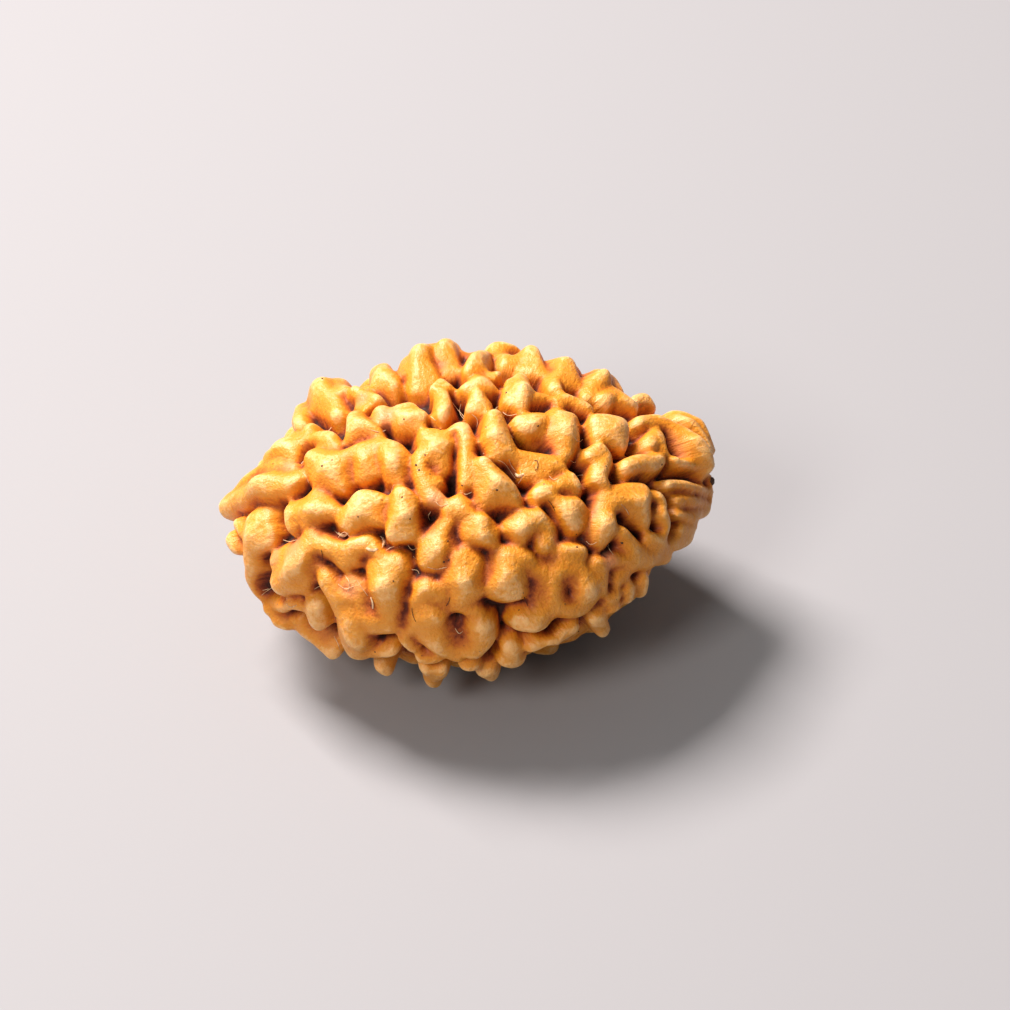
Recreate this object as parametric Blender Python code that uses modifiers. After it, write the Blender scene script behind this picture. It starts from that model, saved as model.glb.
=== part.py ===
# Rudraksha seed: one stony seed, an oval body covered all over in deep tubercles.
# It grew as one piece, so it is one solid. Metres, +Z up, the long axis from pole to pole along X.

import bmesh
import bpy
import numpy as np

MM = 0.001

# Driving dimensions of the seed, over the tips of its tubercles
LENGTH = 24.0 * MM
WIDTH = 18.6 * MM
HEIGHT = 14.4 * MM
RELIEF_SIDE = 1.6 * MM
RELIEF_END = 1.2 * MM
REST_CUT = 0.55 * MM

# How the oval runs in to its two poles, and how the blunt one is bent back and up
TAPER = 0.7
NOSE_BACK = 0.6 * MM
NOSE_LIFT = 0.8 * MM
NOSE_START = 0.25

# The photograph's view of the seed, by which the tubercles that it shows are placed
VIEW_AZIMUTH = -4.6
VIEW_ELEVATION = 42.0
VIEW_DISTANCE = 0.27
PIXELS_PER_METRE = 20800.0
SEED_PIXEL = (467.0, 514.0)
RAY_STEPS = 1200

# A tubercle is a chain of balls, each with a broader root sunk in the body, hulled pair by pair
ROOT_DEPTH = 1.2 * MM
ROOT_WIDEN = 1.22
ROOT_EXTRA = 0.12 * MM
ROOT_LARGEST = 1.4 * MM
BALL_LEVELS = 3
DOME = 0.4

# Tubercles on the sides that the photograph does not show
DRAW_SEED = 11
SPACING = 1.3 * MM
LINE_ROOM = 0.75 * MM
HIDDEN_FACING = 0.08
HIDDEN_LENGTH = (0.5 * MM, 2.6 * MM)
HIDDEN_RADIUS = (0.46 * MM, 0.84 * MM)
HIDDEN_SINK = 0.2 * MM
RIM_SINK = 1.2 * MM
RIM_FACING = -0.4
HIDDEN_SWING = 0.8
FOLD_CHANCE = 0.55
FOLD_TURN = 1.3
SPOTS = 6000
LEVEL_STEPS = 3

# The line on the underside, as a turn about the long axis in degrees that sways along the seed
LINE_END = 0.97
LINE_POINTS = 120
UNDER_TURN = 268.0
UNDER_SWAY = 7.0
UNDER_WAVES = 3.1

# Small unevenness of the whole surface
WAVE = 0.05 * MM
WAVE_LENGTH = 1.6 * MM
RIPPLES = 5

# Mesh sizes
CORE_LEVELS = 5
VOXEL = 0.15 * MM
SMOOTH_ROUNDS = 11
TRIANGLES = 11300
CUT_MERGE = 0.00001 * MM

STONE_COLOR = (0.53, 0.18, 0.026, 1.0)
STONE_ROUGHNESS = 0.42

# The line that parts the lobes on the top, as pixels of the photograph
MUKHI_LINE = [(224, 503), (240, 490), (261, 474), (292, 466), (312, 451), (345, 449), (380, 434),
              (415, 430), (478, 422), (545, 409), (625, 415), (658, 415), (680, 426), (700, 434),
              (711, 453), (713, 478)]

# The lobes that the photograph shows. A lobe is a list of chains of balls. A ball is the pixel of
# its middle, its radius in pixels and, where they aren't none, its depth under the tips in pixels
# and how many pixels nearer the camera it lies
LOBES = {
    "b": [[(275, 459, 13), (287, 449, 13), (297, 440, 11)]],
    "a_knob": [[(303, 412, 11), (302, 427, 10, 3)]],
    "a": [[(321, 392, 13), (333, 391, 15), (344, 396, 11)], [(321, 392, 13), (318, 407, 12, 4)],
          [(333, 391, 15), (331, 407, 15, 4), (341, 416, 12, 8)]],
    "a_low": [[(356, 395, 9, 1), (367, 397, 9, 2), (377, 402, 7, 5)]],
    "k_side": [[(360, 408, 7, 9), (366, 412, 6, 9)]],
    "c_back": [[(311, 431, 9), (308, 441, 8, 2)]],
    "c_front": [[(319, 438, 9), (330, 443, 9), (339, 447, 6, 1)]],
    "h": [[(382, 376, 13), (384, 389, 13, 4)], [(382, 376, 12), (393, 388, 9, 4)]],
    "i": [[(407, 376, 12), (421, 357, 12), (434, 358, 12), (449, 353, 13), (463, 361, 9, 2)],
          [(421, 357, 12), (418, 380, 13, 5)], [(434, 358, 12), (426, 375, 13, 5), (424, 391, 11, 9)],
          [(449, 353, 13), (447, 368, 10, 6)]],
    "j_back": [[(436, 391, 7), (441, 384, 7), (449, 387, 7)]],
    "j_front": [[(443, 395, 8), (443, 408, 10), (442, 417, 8, 2)]],
    "k": [[(383, 414, 11, -1), (385, 421, 10, 1)]],
    "l": [[(356, 421, 11), (355, 436, 10, 4)], [(356, 421, 11), (369, 431, 9, 2), (379, 435, 6, 2)]],
    "m": [[(401, 415, 11), (411, 411, 10), (421, 419, 9)], [(401, 415, 11), (404, 426, 10, 5)],
          [(411, 411, 10), (414, 424, 10, 4)]],
    "p": [[(498, 356, 15), (508, 358, 14, 1)], [(499, 359, 14), (505, 368, 11, 2)]],
    "q": [[(471, 372, 9), (479, 362, 12), (486, 358, 9)], [(479, 362, 12), (478, 376, 10, 5)]],
    "q_end": [[(493, 378, 6, 3), (499, 374, 5, 3)]],
    "r": [[(512, 366, 8, 2), (525, 361, 9), (533, 360, 11), (537, 371, 9, 3)]],
    "s": [[(466, 390, 7), (473, 384, 9), (480, 384, 10), (489, 391, 8, 3)]],
    "t": [[(479, 400, 10), (478, 408, 9, 2)], [(479, 400, 9), (487, 405, 8, 2)]],
    "u_left": [[(511, 386, 9), (509, 400, 8, 2)]],
    "u_right": [[(521, 383, 10), (520, 398, 12, 1), (520, 405, 10, 2)], [(520, 398, 12, 1),
                 (533, 402, 9, 2), (543, 402, 8, 2)]],
    "v": [[(552, 371, 11), (563, 371, 12), (572, 379, 11, 2)], [(552, 371, 11), (549, 385, 8, 4)],
          [(563, 371, 12), (566, 385, 11, 5)]],
    "v_knob": [[(554, 385, 8), (556, 391, 8)]],
    "w": [[(556, 404, 8), (567, 402, 10), (578, 405, 8), (588, 410, 6, 2)]],
    "aa": [[(588, 387, 10), (597, 381, 13), (607, 386, 11), (618, 394, 8)], [(588, 387, 10),
            (586, 400, 8, 4)], [(597, 381, 12), (597, 396, 9, 5)]],
    "ab": [[(602, 402, 10, -1), (611, 398, 13, -2), (621, 404, 10, -1), (632, 408, 7)]],
    "ac": [[(636, 403, 7, 2), (643, 403, 10), (649, 408, 9, 1)]],
    "af": [[(672, 416, 7), (685, 417, 7), (697, 424, 7), (706, 437, 6), (711, 450, 6)],
           [(676, 420, 7, 0, 12), (690, 425, 7, 0, 14), (702, 438, 6, 0, 14), (709, 452, 6, 0, 12)]],
    "keel_back": [[(228, 500, 6), (244, 484, 7), (262, 472, 8), (278, 468, 8), (294, 469, 8)]],
    "keel_front": [[(227, 509, 10), (244, 500, 12), (262, 489, 14), (282, 484, 15), (300, 482, 12)]],
    "tip_under": [[(238, 524, 7, 1), (246, 534, 7, 2)]],
    "left_bump": [[(233, 540, 9), (238, 548, 8)]],
    "e": [[(268, 520, 12), (256, 524, 12), (255, 545, 12), (252, 560, 10, 1)], [(256, 532, 12),
           (271, 532, 11, 2)], [(268, 520, 12), (270, 541, 10, 4)]],
    "e_side": [[(254, 562, 10), (254, 576, 10), (263, 593, 9), (274, 603, 8), (290, 606, 7),
                (301, 605, 6, 1)]],
    "f": [[(296, 515, 12), (310, 513, 13), (322, 505, 13), (330, 511, 10)], [(296, 515, 12),
           (294, 527, 9, 2)], [(316, 498, 9), (320, 508, 12)], [(310, 515, 13), (319, 518, 9, 3)]],
    "g": [[(318, 542, 16), (307, 556, 18), (295, 570, 19), (287, 580, 17)], [(318, 542, 15),
           (332, 549, 12)], [(308, 556, 16), (322, 567, 10, 5)], [(290, 575, 18), (306, 583, 13, 2)]],
    "g_pink": [[(279, 561, 11, 1), (292, 557, 13, 1)]],
    "g_fold": [[(340, 552, 12, 1), (348, 563, 10, 4)]],
    "g_right": [[(355, 548, 12), (368, 546, 10), (376, 551, 7)], [(352, 550, 12), (356, 561, 9, 5)]],
    "d": [[(317, 462, 13), (330, 463, 14), (346, 463, 13)], [(322, 468, 14), (333, 482, 14, 3)],
          [(346, 463, 12), (345, 478, 12, 4)], [(346, 461, 12), (362, 456, 12), (373, 452, 11)],
          [(368, 456, 12, 2), (369, 468, 11, 6)], [(380, 449, 12), (392, 452, 13), (398, 463, 12)],
          [(396, 458, 12), (396, 475, 12, 3)]],
    "ax": [[(344, 521, 10), (354, 513, 13), (366, 503, 14), (377, 503, 12)], [(366, 503, 14),
            (371, 518, 13, 2)], [(354, 513, 13), (361, 521, 11, 2)], [(377, 503, 12),
            (379, 517, 9, 3)]],
    "blade": [[(402, 496, 10), (400, 514, 14), (400, 530, 13)], [(402, 496, 10), (410, 506, 12),
               (409, 528, 12, 1)], [(400, 514, 14), (409, 516, 13)]],
    "n": [[(426, 439, 11), (437, 438, 12), (444, 446, 10)], [(438, 441, 12), (440, 459, 12, 3),
           (443, 469, 9, 6)]],
    "n_low": [[(422, 457, 10), (422, 475, 10), (428, 489, 10, 2)], [(422, 475, 10), (436, 484, 9, 5)]],
    "pink_knob": [[(432, 498, 8), (438, 499, 7)]],
    "bq": [[(450, 510, 10), (459, 507, 13, -1), (463, 512, 12, -1)]],
    "br": [[(451, 521, 11, 4), (445, 531, 13, 4), (437, 543, 14, 3), (431, 554, 13, 2),
            (439, 563, 12, 3)]],
    "o": [[(453, 431, 7), (461, 431, 10), (466, 446, 9), (467, 465, 8), (467, 483, 8, 1)]],
    "x": [[(492, 420, 10), (495, 434, 13), (500, 449, 12, 1)], [(495, 434, 13), (508, 450, 10, 2),
           (514, 460, 8, 5)]],
    "y_left": [[(520, 424, 10), (532, 423, 12), (543, 422, 10)], [(532, 424, 12), (534, 433, 9, 4)]],
    "y_right": [[(556, 420, 12), (567, 423, 13), (569, 437, 12)], [(558, 422, 12), (561, 440, 14, 2),
                 (564, 454, 10, 3)]],
    "y_low": [[(521, 458, 9, 4), (534, 462, 10, 4), (548, 463, 10, 4), (558, 469, 9, 4)],
              [(534, 464, 10, 4), (536, 477, 9, 4)], [(548, 465, 10, 4), (547, 476, 8, 5)],
              [(523, 461, 9, 4), (527, 474, 8, 5)]],
    "z": [[(482, 464, 8), (487, 478, 12), (490, 495, 15)], [(487, 478, 12), (501, 489, 13),
           (510, 500, 12)], [(490, 495, 14), (508, 500, 12)]],
    "ba": [[(540, 496, 10), (548, 491, 11), (552, 498, 9)]],
    "bb": [[(562, 484, 9), (570, 481, 10), (575, 486, 8)]],
    "bc": [[(566, 511, 15), (570, 518, 17)]],
    "bd": [[(471, 531, 12), (481, 527, 15), (487, 534, 13)], [(481, 527, 14), (480, 538, 12, 2)]],
    "be": [[(515, 530, 13), (523, 521, 14), (535, 521, 13), (546, 533, 11), (545, 545, 11)],
           [(515, 530, 12), (522, 536, 10, 3)]],
    "bf": [[(464, 562, 15), (466, 580, 17), (462, 595, 14)], [(466, 580, 15), (450, 582, 13, 2)],
           [(472, 565, 13, 1), (474, 583, 13, 1)]],
    "bg": [[(505, 560, 16), (502, 578, 19), (507, 588, 16)], [(505, 560, 15), (515, 578, 12)]],
    "bg_side": [[(514, 558, 12, 1), (526, 561, 10, 1), (532, 571, 8, 2)]],
    "bh": [[(554, 571, 15), (552, 588, 14), (549, 604, 15), (537, 616, 14), (521, 620, 13)],
           [(556, 569, 14), (574, 570, 15), (586, 580, 15), (585, 594, 15), (577, 603, 14),
            (566, 606, 13)], [(549, 606, 12), (566, 606, 13)]],
    "bi_back": [[(564, 553, 11), (577, 553, 11)], [(566, 555, 11), (570, 564, 12)]],
    "bi_side": [[(596, 562, 10, 1), (600, 576, 10), (600, 590, 9)]],
    "bi": [[(605, 504, 13), (617, 498, 13), (630, 494, 11), (642, 493, 10), (644, 507, 9),
            (643, 521, 9, 1)]],
    "bj": [[(601, 515, 13), (600, 530, 14), (597, 537, 13)]],
    "bk": [[(656, 497, 9, 2), (661, 504, 7, 2)]],
    "bl": [[(660, 515, 9), (665, 524, 8), (662, 533, 8)]],
    "bm": [[(648, 538, 8), (659, 545, 9), (664, 548, 7)]],
    "bm_back": [[(654, 559, 8, 1), (663, 557, 9, 1)]],
    "bo": [[(620, 535, 11), (629, 549, 12), (640, 560, 12), (653, 558, 9)], [(610, 560, 11, 2),
            (630, 562, 12)]],
    "ah": [[(626, 468, 10), (638, 463, 10), (649, 466, 11, 1), (659, 462, 8, 2)]],
    "ai": [[(604, 462, 9), (600, 469, 11), (597, 480, 11), (603, 484, 8)]],
    "ai_back": [[(589, 456, 8), (600, 451, 9), (607, 456, 7)]],
    "ad": [[(597, 427, 12), (608, 426, 12), (618, 429, 11)], [(597, 427, 11), (598, 437, 9, 3)],
           [(616, 428, 12), (618, 443, 10, 2)]],
    "ae": [[(640, 424, 10), (654, 425, 11, 0, 3), (668, 431, 11, 0, 14), (682, 437, 11, 0, 34),
            (693, 445, 10, 0, 38), (702, 456, 9, 0, 34), (709, 468, 7, 0, 24)], [(655, 426, 10),
            (652, 434, 9, 5)]],
    "ae_low": [[(674, 461, 6, 1), (688, 465, 6, 1), (700, 471, 6), (709, 477, 5)]],
    "ag": [[(648, 446, 10), (658, 439, 9)], [(656, 441, 10), (661, 453, 8, 3)]],
    "r_top": [[(669, 484, 5, 1), (684, 485, 5), (698, 488, 5), (709, 492, 5)]],
    "r_mid": [[(677, 500, 5, 1), (692, 501, 5), (705, 503, 5)]],
    "r_low": [[(677, 514, 5, 1), (691, 516, 6), (704, 514, 6)]],
    "r_under": [[(680, 530, 6), (692, 527, 6)]],
    "r_edge": [[(669, 543, 9, 1), (684, 537, 10)]],
    "r_tip": [[(710, 480, 4), (709, 495, 4), (707, 510, 5)]],
    "strip": [[(268, 608, 7), (278, 614, 7)]],
    "finger_left": [[(279, 620, 8), (288, 626, 7)]],
    "ll_back": [[(288, 614, 8, 3), (299, 619, 8, 3)], [(304, 630, 8, 1), (314, 636, 8, 1)]],
    "ll": [[(316, 605, 11), (321, 618, 13)]],
    "ll_low": [[(322, 640, 10), (333, 650, 11)]],
    "bp": [[(329, 579, 12, 1), (339, 592, 12, 1), (349, 610, 15), (354, 628, 17), (359, 643, 17)],
           [(350, 610, 14), (364, 616, 12, 1)], [(342, 594, 12, 1), (359, 599, 10, 3)]],
    "bpc": [[(387, 570, 20), (396, 572, 21)], [(391, 573, 20), (391, 594, 18, 1), (391, 610, 16),
             (390, 619, 14, 1)]],
    "bp_under": [[(375, 650, 10, 2), (391, 649, 9, 2)]],
    "finger_a": [[(382, 664, 9), (387, 666, 10)]],
    "br_low": [[(427, 586, 14, 2), (441, 592, 13, 3)], [(427, 588, 12, 2), (418, 602, 11, 4)]],
    "p_two": [[(418, 616, 13), (434, 628, 20, -1), (446, 643, 15)], [(421, 617, 14),
               (411, 626, 11, 2)], [(427, 602, 14, 2), (433, 615, 17)]],
    "p_link": [[(442, 604, 9, 7), (460, 604, 9, 7), (474, 609, 10, 4)]],
    "p_small": [[(407, 638, 9, 1), (413, 646, 8, 2)]],
    "p_under": [[(420, 655, 8, 2), (436, 657, 8, 2)]],
    "p_under_b": [[(452, 655, 8, 1), (458, 653, 8, 1)]],
    "finger_b": [[(427, 667, 8), (434, 672, 12), (442, 668, 9)], [(434, 672, 12), (434, 681, 9)]],
    "p_three": [[(478, 622, 16), (482, 636, 15), (473, 646, 13)]],
    "finger_c": [[(487, 667, 11), (491, 673, 10)]],
    "finger_c_side": [[(465, 662, 8), (473, 664, 7)]],
    "block": [[(507, 657, 11), (517, 658, 11)], [(510, 645, 10, 2), (512, 658, 11)]],
    "block_side": [[(531, 646, 8), (539, 644, 7)]],
    "leaf": [[(562, 631, 10, 2), (571, 627, 9, 2)]],
    "leaf_tip": [[(549, 641, 6, 1), (556, 641, 6, 1)]],
    "finger_d": [[(594, 614, 10), (602, 630, 9)]],
    "r_lobe": [[(606, 598, 10), (613, 594, 9)]],
    "r_lobe_low": [[(609, 606, 9, 1), (614, 605, 8, 1)]],
    "leaf_a": [[(628, 587, 8), (627, 597, 8)]],
    "leaf_b": [[(641, 579, 9), (639, 591, 9)]],
    "r_gap": [[(616, 578, 8, 3), (622, 575, 8, 3)]],
    "bp_pulp": [[(350, 581, 9, 4), (361, 588, 10, 3), (364, 602, 10, 2)]],
    "p_bridge": [[(447, 643, 12, 2), (461, 646, 11, 2), (474, 641, 12, 1)]],
    "bh_side": [[(541, 570, 11, 2), (538, 588, 11, 5), (536, 604, 11, 4)]],
    "p_pit": [[(453, 624, 8, 9), (458, 634, 8, 8)]],
}

# The broad faces that the photograph shows on its larger lobes. Each is one hull round all its balls
FACES = {
    "a": [(321, 392, 13), (338, 392, 13), (321, 411, 12, 4), (341, 414, 11, 8)],
    "aa": [(588, 386, 10), (607, 385, 11), (586, 399, 8, 4), (606, 396, 8, 5)],
    "ad": [(596, 426, 11), (618, 427, 11), (619, 444, 9, 2), (600, 438, 9, 3)],
    "ax": [(344, 522, 9), (366, 501, 12), (381, 503, 10), (378, 521, 8, 2), (350, 526, 7, 2)],
    "b": [(275, 460, 12), (289, 450, 12), (296, 458, 9, 3), (297, 443, 10)],
    "bc": [(562, 508, 12), (574, 510, 13), (571, 520, 15, -1)],
    "bd": [(481, 524, 12, -3), (470, 536, 10), (488, 539, 11)],
    "be": [(513, 529, 12), (524, 520, 14), (528, 525, 12, -2), (520, 540, 9, 3)],
    "bf": [(461, 562, 13), (473, 564, 12), (474, 587, 13), (461, 596, 13), (450, 582, 12, 2)],
    "bg": [(502, 560, 16), (517, 563, 12, 2), (497, 585, 15), (516, 587, 14)],
    "bh_foot": [(521, 619, 12), (540, 612, 14), (541, 620, 11, 1), (519, 624, 8, 2)],
    "bh_right": [(576, 570, 13), (590, 580, 11), (587, 597, 12), (578, 600, 11)],
    "bi": [(617, 498, 12), (643, 495, 10), (644, 519, 9, 1), (630, 511, 10, 2)],
    "bj": [(601, 514, 13), (597, 536, 13), (603, 529, 14), (599, 526, 13, -2)],
    "blade": [(403, 494, 9, -4), (395, 533, 10), (411, 532, 11), (413, 506, 9)],
    "bp": [(350, 612, 14), (356, 634, 16, -2), (366, 646, 12, 1), (369, 618, 13, 2)],
    "bp_link": [(366, 612, 12, 2), (388, 614, 14, 1), (388, 622, 12, 2), (368, 624, 12, 2)],
    "bpc": [(385, 568, 19), (395, 569, 20), (391, 588, 19, -2), (391, 606, 17)],
    "br": [(443, 533, 12, 4), (430, 545, 12, 2), (428, 560, 10, 2), (442, 564, 10, 3),
           (448, 545, 11, 4)],
    "d_left": [(315, 460, 12), (346, 461, 12), (321, 481, 11, 3), (343, 486, 11, 3)],
    "d_middle": [(361, 457, 12), (375, 453, 11), (362, 478, 9, 6), (375, 472, 8, 6)],
    "d_right": [(386, 449, 12), (398, 458, 12), (400, 480, 10, 3), (392, 480, 8, 5)],
    "e": [(266, 520, 12), (255, 525, 11), (254, 550, 10), (270, 541, 9, 4)],
    "f": [(294, 513, 11), (322, 503, 12), (333, 513, 8, 1), (310, 524, 8, 3)],
    "g": [(318, 542, 14), (306, 556, 17, -2), (290, 576, 17), (308, 574, 14, 3)],
    "h": [(382, 375, 11, -2), (381, 390, 11, 4), (394, 387, 8, 4)],
    "i_left": [(410, 372, 11), (434, 358, 12), (419, 391, 10, 9), (434, 386, 9, 9)],
    "i_middle": [(424, 360, 12), (446, 358, 12), (430, 378, 10, 6), (444, 373, 9, 7)],
    "i_right": [(449, 353, 13), (436, 360, 11), (440, 374, 9, 6), (456, 374, 8, 6), (448, 378, 8, 8)],
    "keel": [(244, 500, 11), (262, 489, 13), (284, 483, 14), (300, 482, 11), (290, 496, 8, 5),
             (266, 501, 8, 4)],
    "l": [(356, 420, 10, -3), (352, 440, 8, 3), (379, 435, 6, 2)],
    "m": [(400, 414, 10), (421, 418, 8), (402, 428, 9, 4), (420, 428, 7, 4)],
    "n": [(425, 440, 11), (442, 440, 11), (444, 466, 9, 6), (432, 462, 10, 4)],
    "q": [(479, 361, 11, -2), (470, 375, 9), (482, 378, 9, 4)],
    "r": [(525, 361, 9), (533, 359, 10, -1), (538, 376, 8, 4), (522, 372, 8, 4)],
    "s": [(473, 384, 9), (482, 385, 9), (468, 394, 7, 3), (490, 393, 7, 3)],
    "t": [(479, 398, 9, -2), (472, 409, 7, 3), (487, 408, 7, 3)],
    "u": [(521, 382, 9, -2), (513, 402, 7, 2), (522, 408, 8, 2), (528, 400, 8, 2)],
    "v": [(553, 371, 11), (569, 374, 12), (551, 388, 8, 4), (573, 390, 8, 5)],
    "x": [(492, 418, 9, -4), (487, 442, 9), (508, 450, 9), (498, 456, 11, 1)],
    "y_left": [(520, 424, 10), (543, 422, 10), (540, 434, 8, 4), (528, 433, 8, 4)],
    "y_right": [(556, 420, 12), (570, 422, 11), (572, 440, 9), (564, 455, 9, 2), (552, 440, 9, 4)],
    "z": [(482, 463, 7, -6), (484, 500, 10), (514, 500, 10), (500, 480, 10)],
}


def camera_axes():
    """Unit vectors of the photograph's view: towards the camera, to its right and up."""
    azimuth = np.radians(VIEW_AZIMUTH)
    elevation = np.radians(VIEW_ELEVATION)
    level = np.array((np.sin(azimuth), -np.cos(azimuth), 0.0))
    back = level * np.cos(elevation) + np.array((0.0, 0.0, np.sin(elevation)))
    right = np.array((np.cos(azimuth), np.sin(azimuth), 0.0))
    return back, right, np.cross(back, right)


def nose_bend(along):
    """How far the body's centre line lies back and up, at a place from -1 to 1 along it."""
    rise = np.clip((along - NOSE_START) / (1 - NOSE_START), 0, 1) ** 2
    return rise * NOSE_BACK, rise * NOSE_LIFT


def half_sizes(inset):
    """Half sizes of the oval body, an inset below the tips; the ends take less of it."""
    return np.array((LENGTH / 2 - inset * RELIEF_END / RELIEF_SIDE, WIDTH / 2 - inset, HEIGHT / 2 - inset))


def body_points(directions, inset):
    """Points of the oval body at unit directions from its centre."""
    half = half_sizes(inset)
    along = directions[:, 0]
    taper = np.maximum(1 - along ** 2, 1e-9) ** (TAPER - 0.5)
    back, lift = nose_bend(along)
    return np.column_stack((half[0] * along,
                            half[1] * directions[:, 1] * taper + back,
                            half[2] * directions[:, 2] * taper + lift))


def body_level(points, inset):
    """How far out points stand from the body's centre, 1 being on the oval an inset below the tips."""
    half = half_sizes(inset)
    along = points[:, 0] / half[0]
    back, lift = nose_bend(along)
    ring = np.hypot((points[:, 1] - back) / half[1], (points[:, 2] - lift) / half[2])
    return along ** 2 + ring ** (1 / TAPER)


def outward(point):
    """The unit vector out of the body at a point."""
    slope = point / half_sizes(0.0) ** 2
    return slope / np.linalg.norm(slope)


def place_ball(x, y, radius, depth=0.0, nearer=0.0):
    """Where a ball read from the photograph lies, and its radius: on the sight line through its
    middle, just under the oval over the tips, or as near to that as the line comes. One on the
    outline may then be brought nearer to the camera, where the seed is fuller than the oval."""
    back, right, up = camera_axes()
    across = (x - SEED_PIXEL[0]) / (PIXELS_PER_METRE * VIEW_DISTANCE)
    rise = (SEED_PIXEL[1] - y) / (PIXELS_PER_METRE * VIEW_DISTANCE)
    ray = right * across + up * rise - back
    steps = np.linspace(VIEW_DISTANCE - LENGTH, VIEW_DISTANCE + LENGTH, RAY_STEPS)
    points = back * VIEW_DISTANCE + steps[:, None] * ray
    level = body_level(points, (radius + depth) / PIXELS_PER_METRE)
    inside = np.flatnonzero(level < 1)
    nearest = inside[0] if len(inside) else np.argmin(level)
    return points[nearest] + back * nearer / PIXELS_PER_METRE, radius / PIXELS_PER_METRE


def under_line():
    """Points of the seed's second line, which runs from pole to pole along its underside."""
    along = np.linspace(-LINE_END, LINE_END, LINE_POINTS)
    turn = np.radians(UNDER_TURN + UNDER_SWAY * np.sin(UNDER_WAVES * along))
    ring = np.sqrt(1 - along ** 2)
    return body_points(np.column_stack((along, ring * np.cos(turn), ring * np.sin(turn))), 0.0)


def top_line():
    """Points of the line that the photograph shows."""
    corners = np.array([place_ball(x, y, 0.0)[0] for x, y in MUKHI_LINE])
    along = np.linspace(corners[0, 0], corners[-1, 0], LINE_POINTS)
    return np.column_stack([np.interp(along, corners[:, 0], corners[:, axis]) for axis in range(3)])


def nearest_distance(points, targets):
    """Distance from each point to the nearest of the targets."""
    square = (points ** 2).sum(1)[:, None] + (targets ** 2).sum(1) - 2 * points @ targets.T
    return np.sqrt(np.maximum(square.min(1), 0))


def chain_points(chain):
    """Points close together along a chain of balls."""
    middles = np.array([ball[0] for ball in chain])
    share = np.linspace(0, 1, 6)[:, None]
    return np.concatenate([a + (b - a) * share for a, b in zip(middles, middles[1:])])


def rim_sink(point):
    """How much lower a lobe stands just behind the photograph's outline, so as not to alter it."""
    facing = outward(point) @ camera_axes()[0]
    return RIM_SINK * np.clip(1 - facing / RIM_FACING, 0, 1)


def grow_chain(centre, length, heading, radius):
    """A short chain of three balls over the body, turned from the long axis by an angle."""
    normal = outward(centre)
    lengthwise = np.array((1.0, 0.0, 0.0)) - normal * normal[0]
    lengthwise /= max(np.linalg.norm(lengthwise), 1e-6)
    course = lengthwise * np.cos(heading) + np.cross(normal, lengthwise) * np.sin(heading)
    chain = []
    for share in (-0.5, 0.0, 0.5):
        point = centre + course * length * share
        inset = radius + HIDDEN_SINK * abs(share) * 2 + rim_sink(point)
        for _ in range(LEVEL_STEPS):
            miss = 1 - body_level(point[None], inset)[0] ** 0.5
            point = point + outward(point) * miss * np.linalg.norm(point)
        chain.append((point, radius * (1 - 0.2 * abs(share))))
    return chain


def grow_hidden_chains(chains):
    """Lobes where the photograph shows none: each goes in the widest gap left, with a seeded draw
    of its length, heading and radius."""
    draw = np.random.default_rng(DRAW_SEED)
    spots = draw.normal(size=(SPOTS, 3))
    spots /= np.linalg.norm(spots, axis=1)[:, None]
    points = body_points(spots, 0.5 * MM)
    normals = np.array([outward(point) for point in points])
    points = points[normals @ camera_axes()[0] < HIDDEN_FACING]
    taken = np.concatenate([chain_points(chain) for chain in chains])
    lines = np.concatenate((top_line(), under_line()))
    room = np.minimum(nearest_distance(points, taken), nearest_distance(points, lines) + SPACING - LINE_ROOM)
    while room.max() > SPACING:
        centre = points[np.argmax(room)]
        length = draw.uniform(*HIDDEN_LENGTH)
        heading = draw.normal() * HIDDEN_SWING
        radius = draw.uniform(*HIDDEN_RADIUS)
        grown = [grow_chain(centre, length, heading, radius)]
        if draw.random() < FOLD_CHANCE:
            grown.append(grow_chain(centre, length * 0.7, heading + FOLD_TURN, radius)[1:])
        chains.extend(grown)
        points_grown = np.concatenate([chain_points(chain) for chain in grown])
        room = np.minimum(room, nearest_distance(points, points_grown))


def all_chains():
    """Every chain of balls on the seed, the read ones first."""
    chains = [[place_ball(*ball) for ball in chain] for lobe in LOBES.values() for chain in lobe]
    grow_hidden_chains(chains)
    return chains


def domed(balls):
    """The balls of a broad face and one more in its middle, standing a little higher."""
    middle = np.mean([point for point, _ in balls], axis=0)
    radius = np.mean([radius for _, radius in balls])
    spread = max(np.linalg.norm(point - middle) for point, _ in balls)
    return balls + [(middle + outward(middle) * spread * DOME, radius)]


def all_faces():
    """The balls of each broad face."""
    return [domed([place_ball(*ball) for ball in face]) for face in FACES.values()]


def unit_ball():
    """The points of a small sphere."""
    ball = bmesh.new()
    bmesh.ops.create_icosphere(ball, subdivisions=BALL_LEVELS, radius=1.0)
    points = np.array([vertex.co for vertex in ball.verts])
    ball.free()
    return points


def add_hull(mesh, balls, sphere):
    """Adds the hull of some balls and of their roots in the body."""
    hull = bmesh.new()
    for point, radius in balls:
        root = point - outward(point) * ROOT_DEPTH
        root_radius = min(radius * ROOT_WIDEN + ROOT_EXTRA, max(ROOT_LARGEST, radius))
        for middle, size in ((point, radius), (root, root_radius)):
            for spot in middle + sphere * size:
                hull.verts.new(spot)
    made = bmesh.ops.convex_hull(hull, input=hull.verts[:])
    spare = [item for item in set(made["geom_interior"]) if isinstance(item, bmesh.types.BMVert)]
    bmesh.ops.delete(hull, geom=spare, context="VERTS")
    piece = bpy.data.meshes.new("hull")
    hull.to_mesh(piece)
    hull.free()
    mesh.from_mesh(piece)
    bpy.data.meshes.remove(piece)


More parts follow.
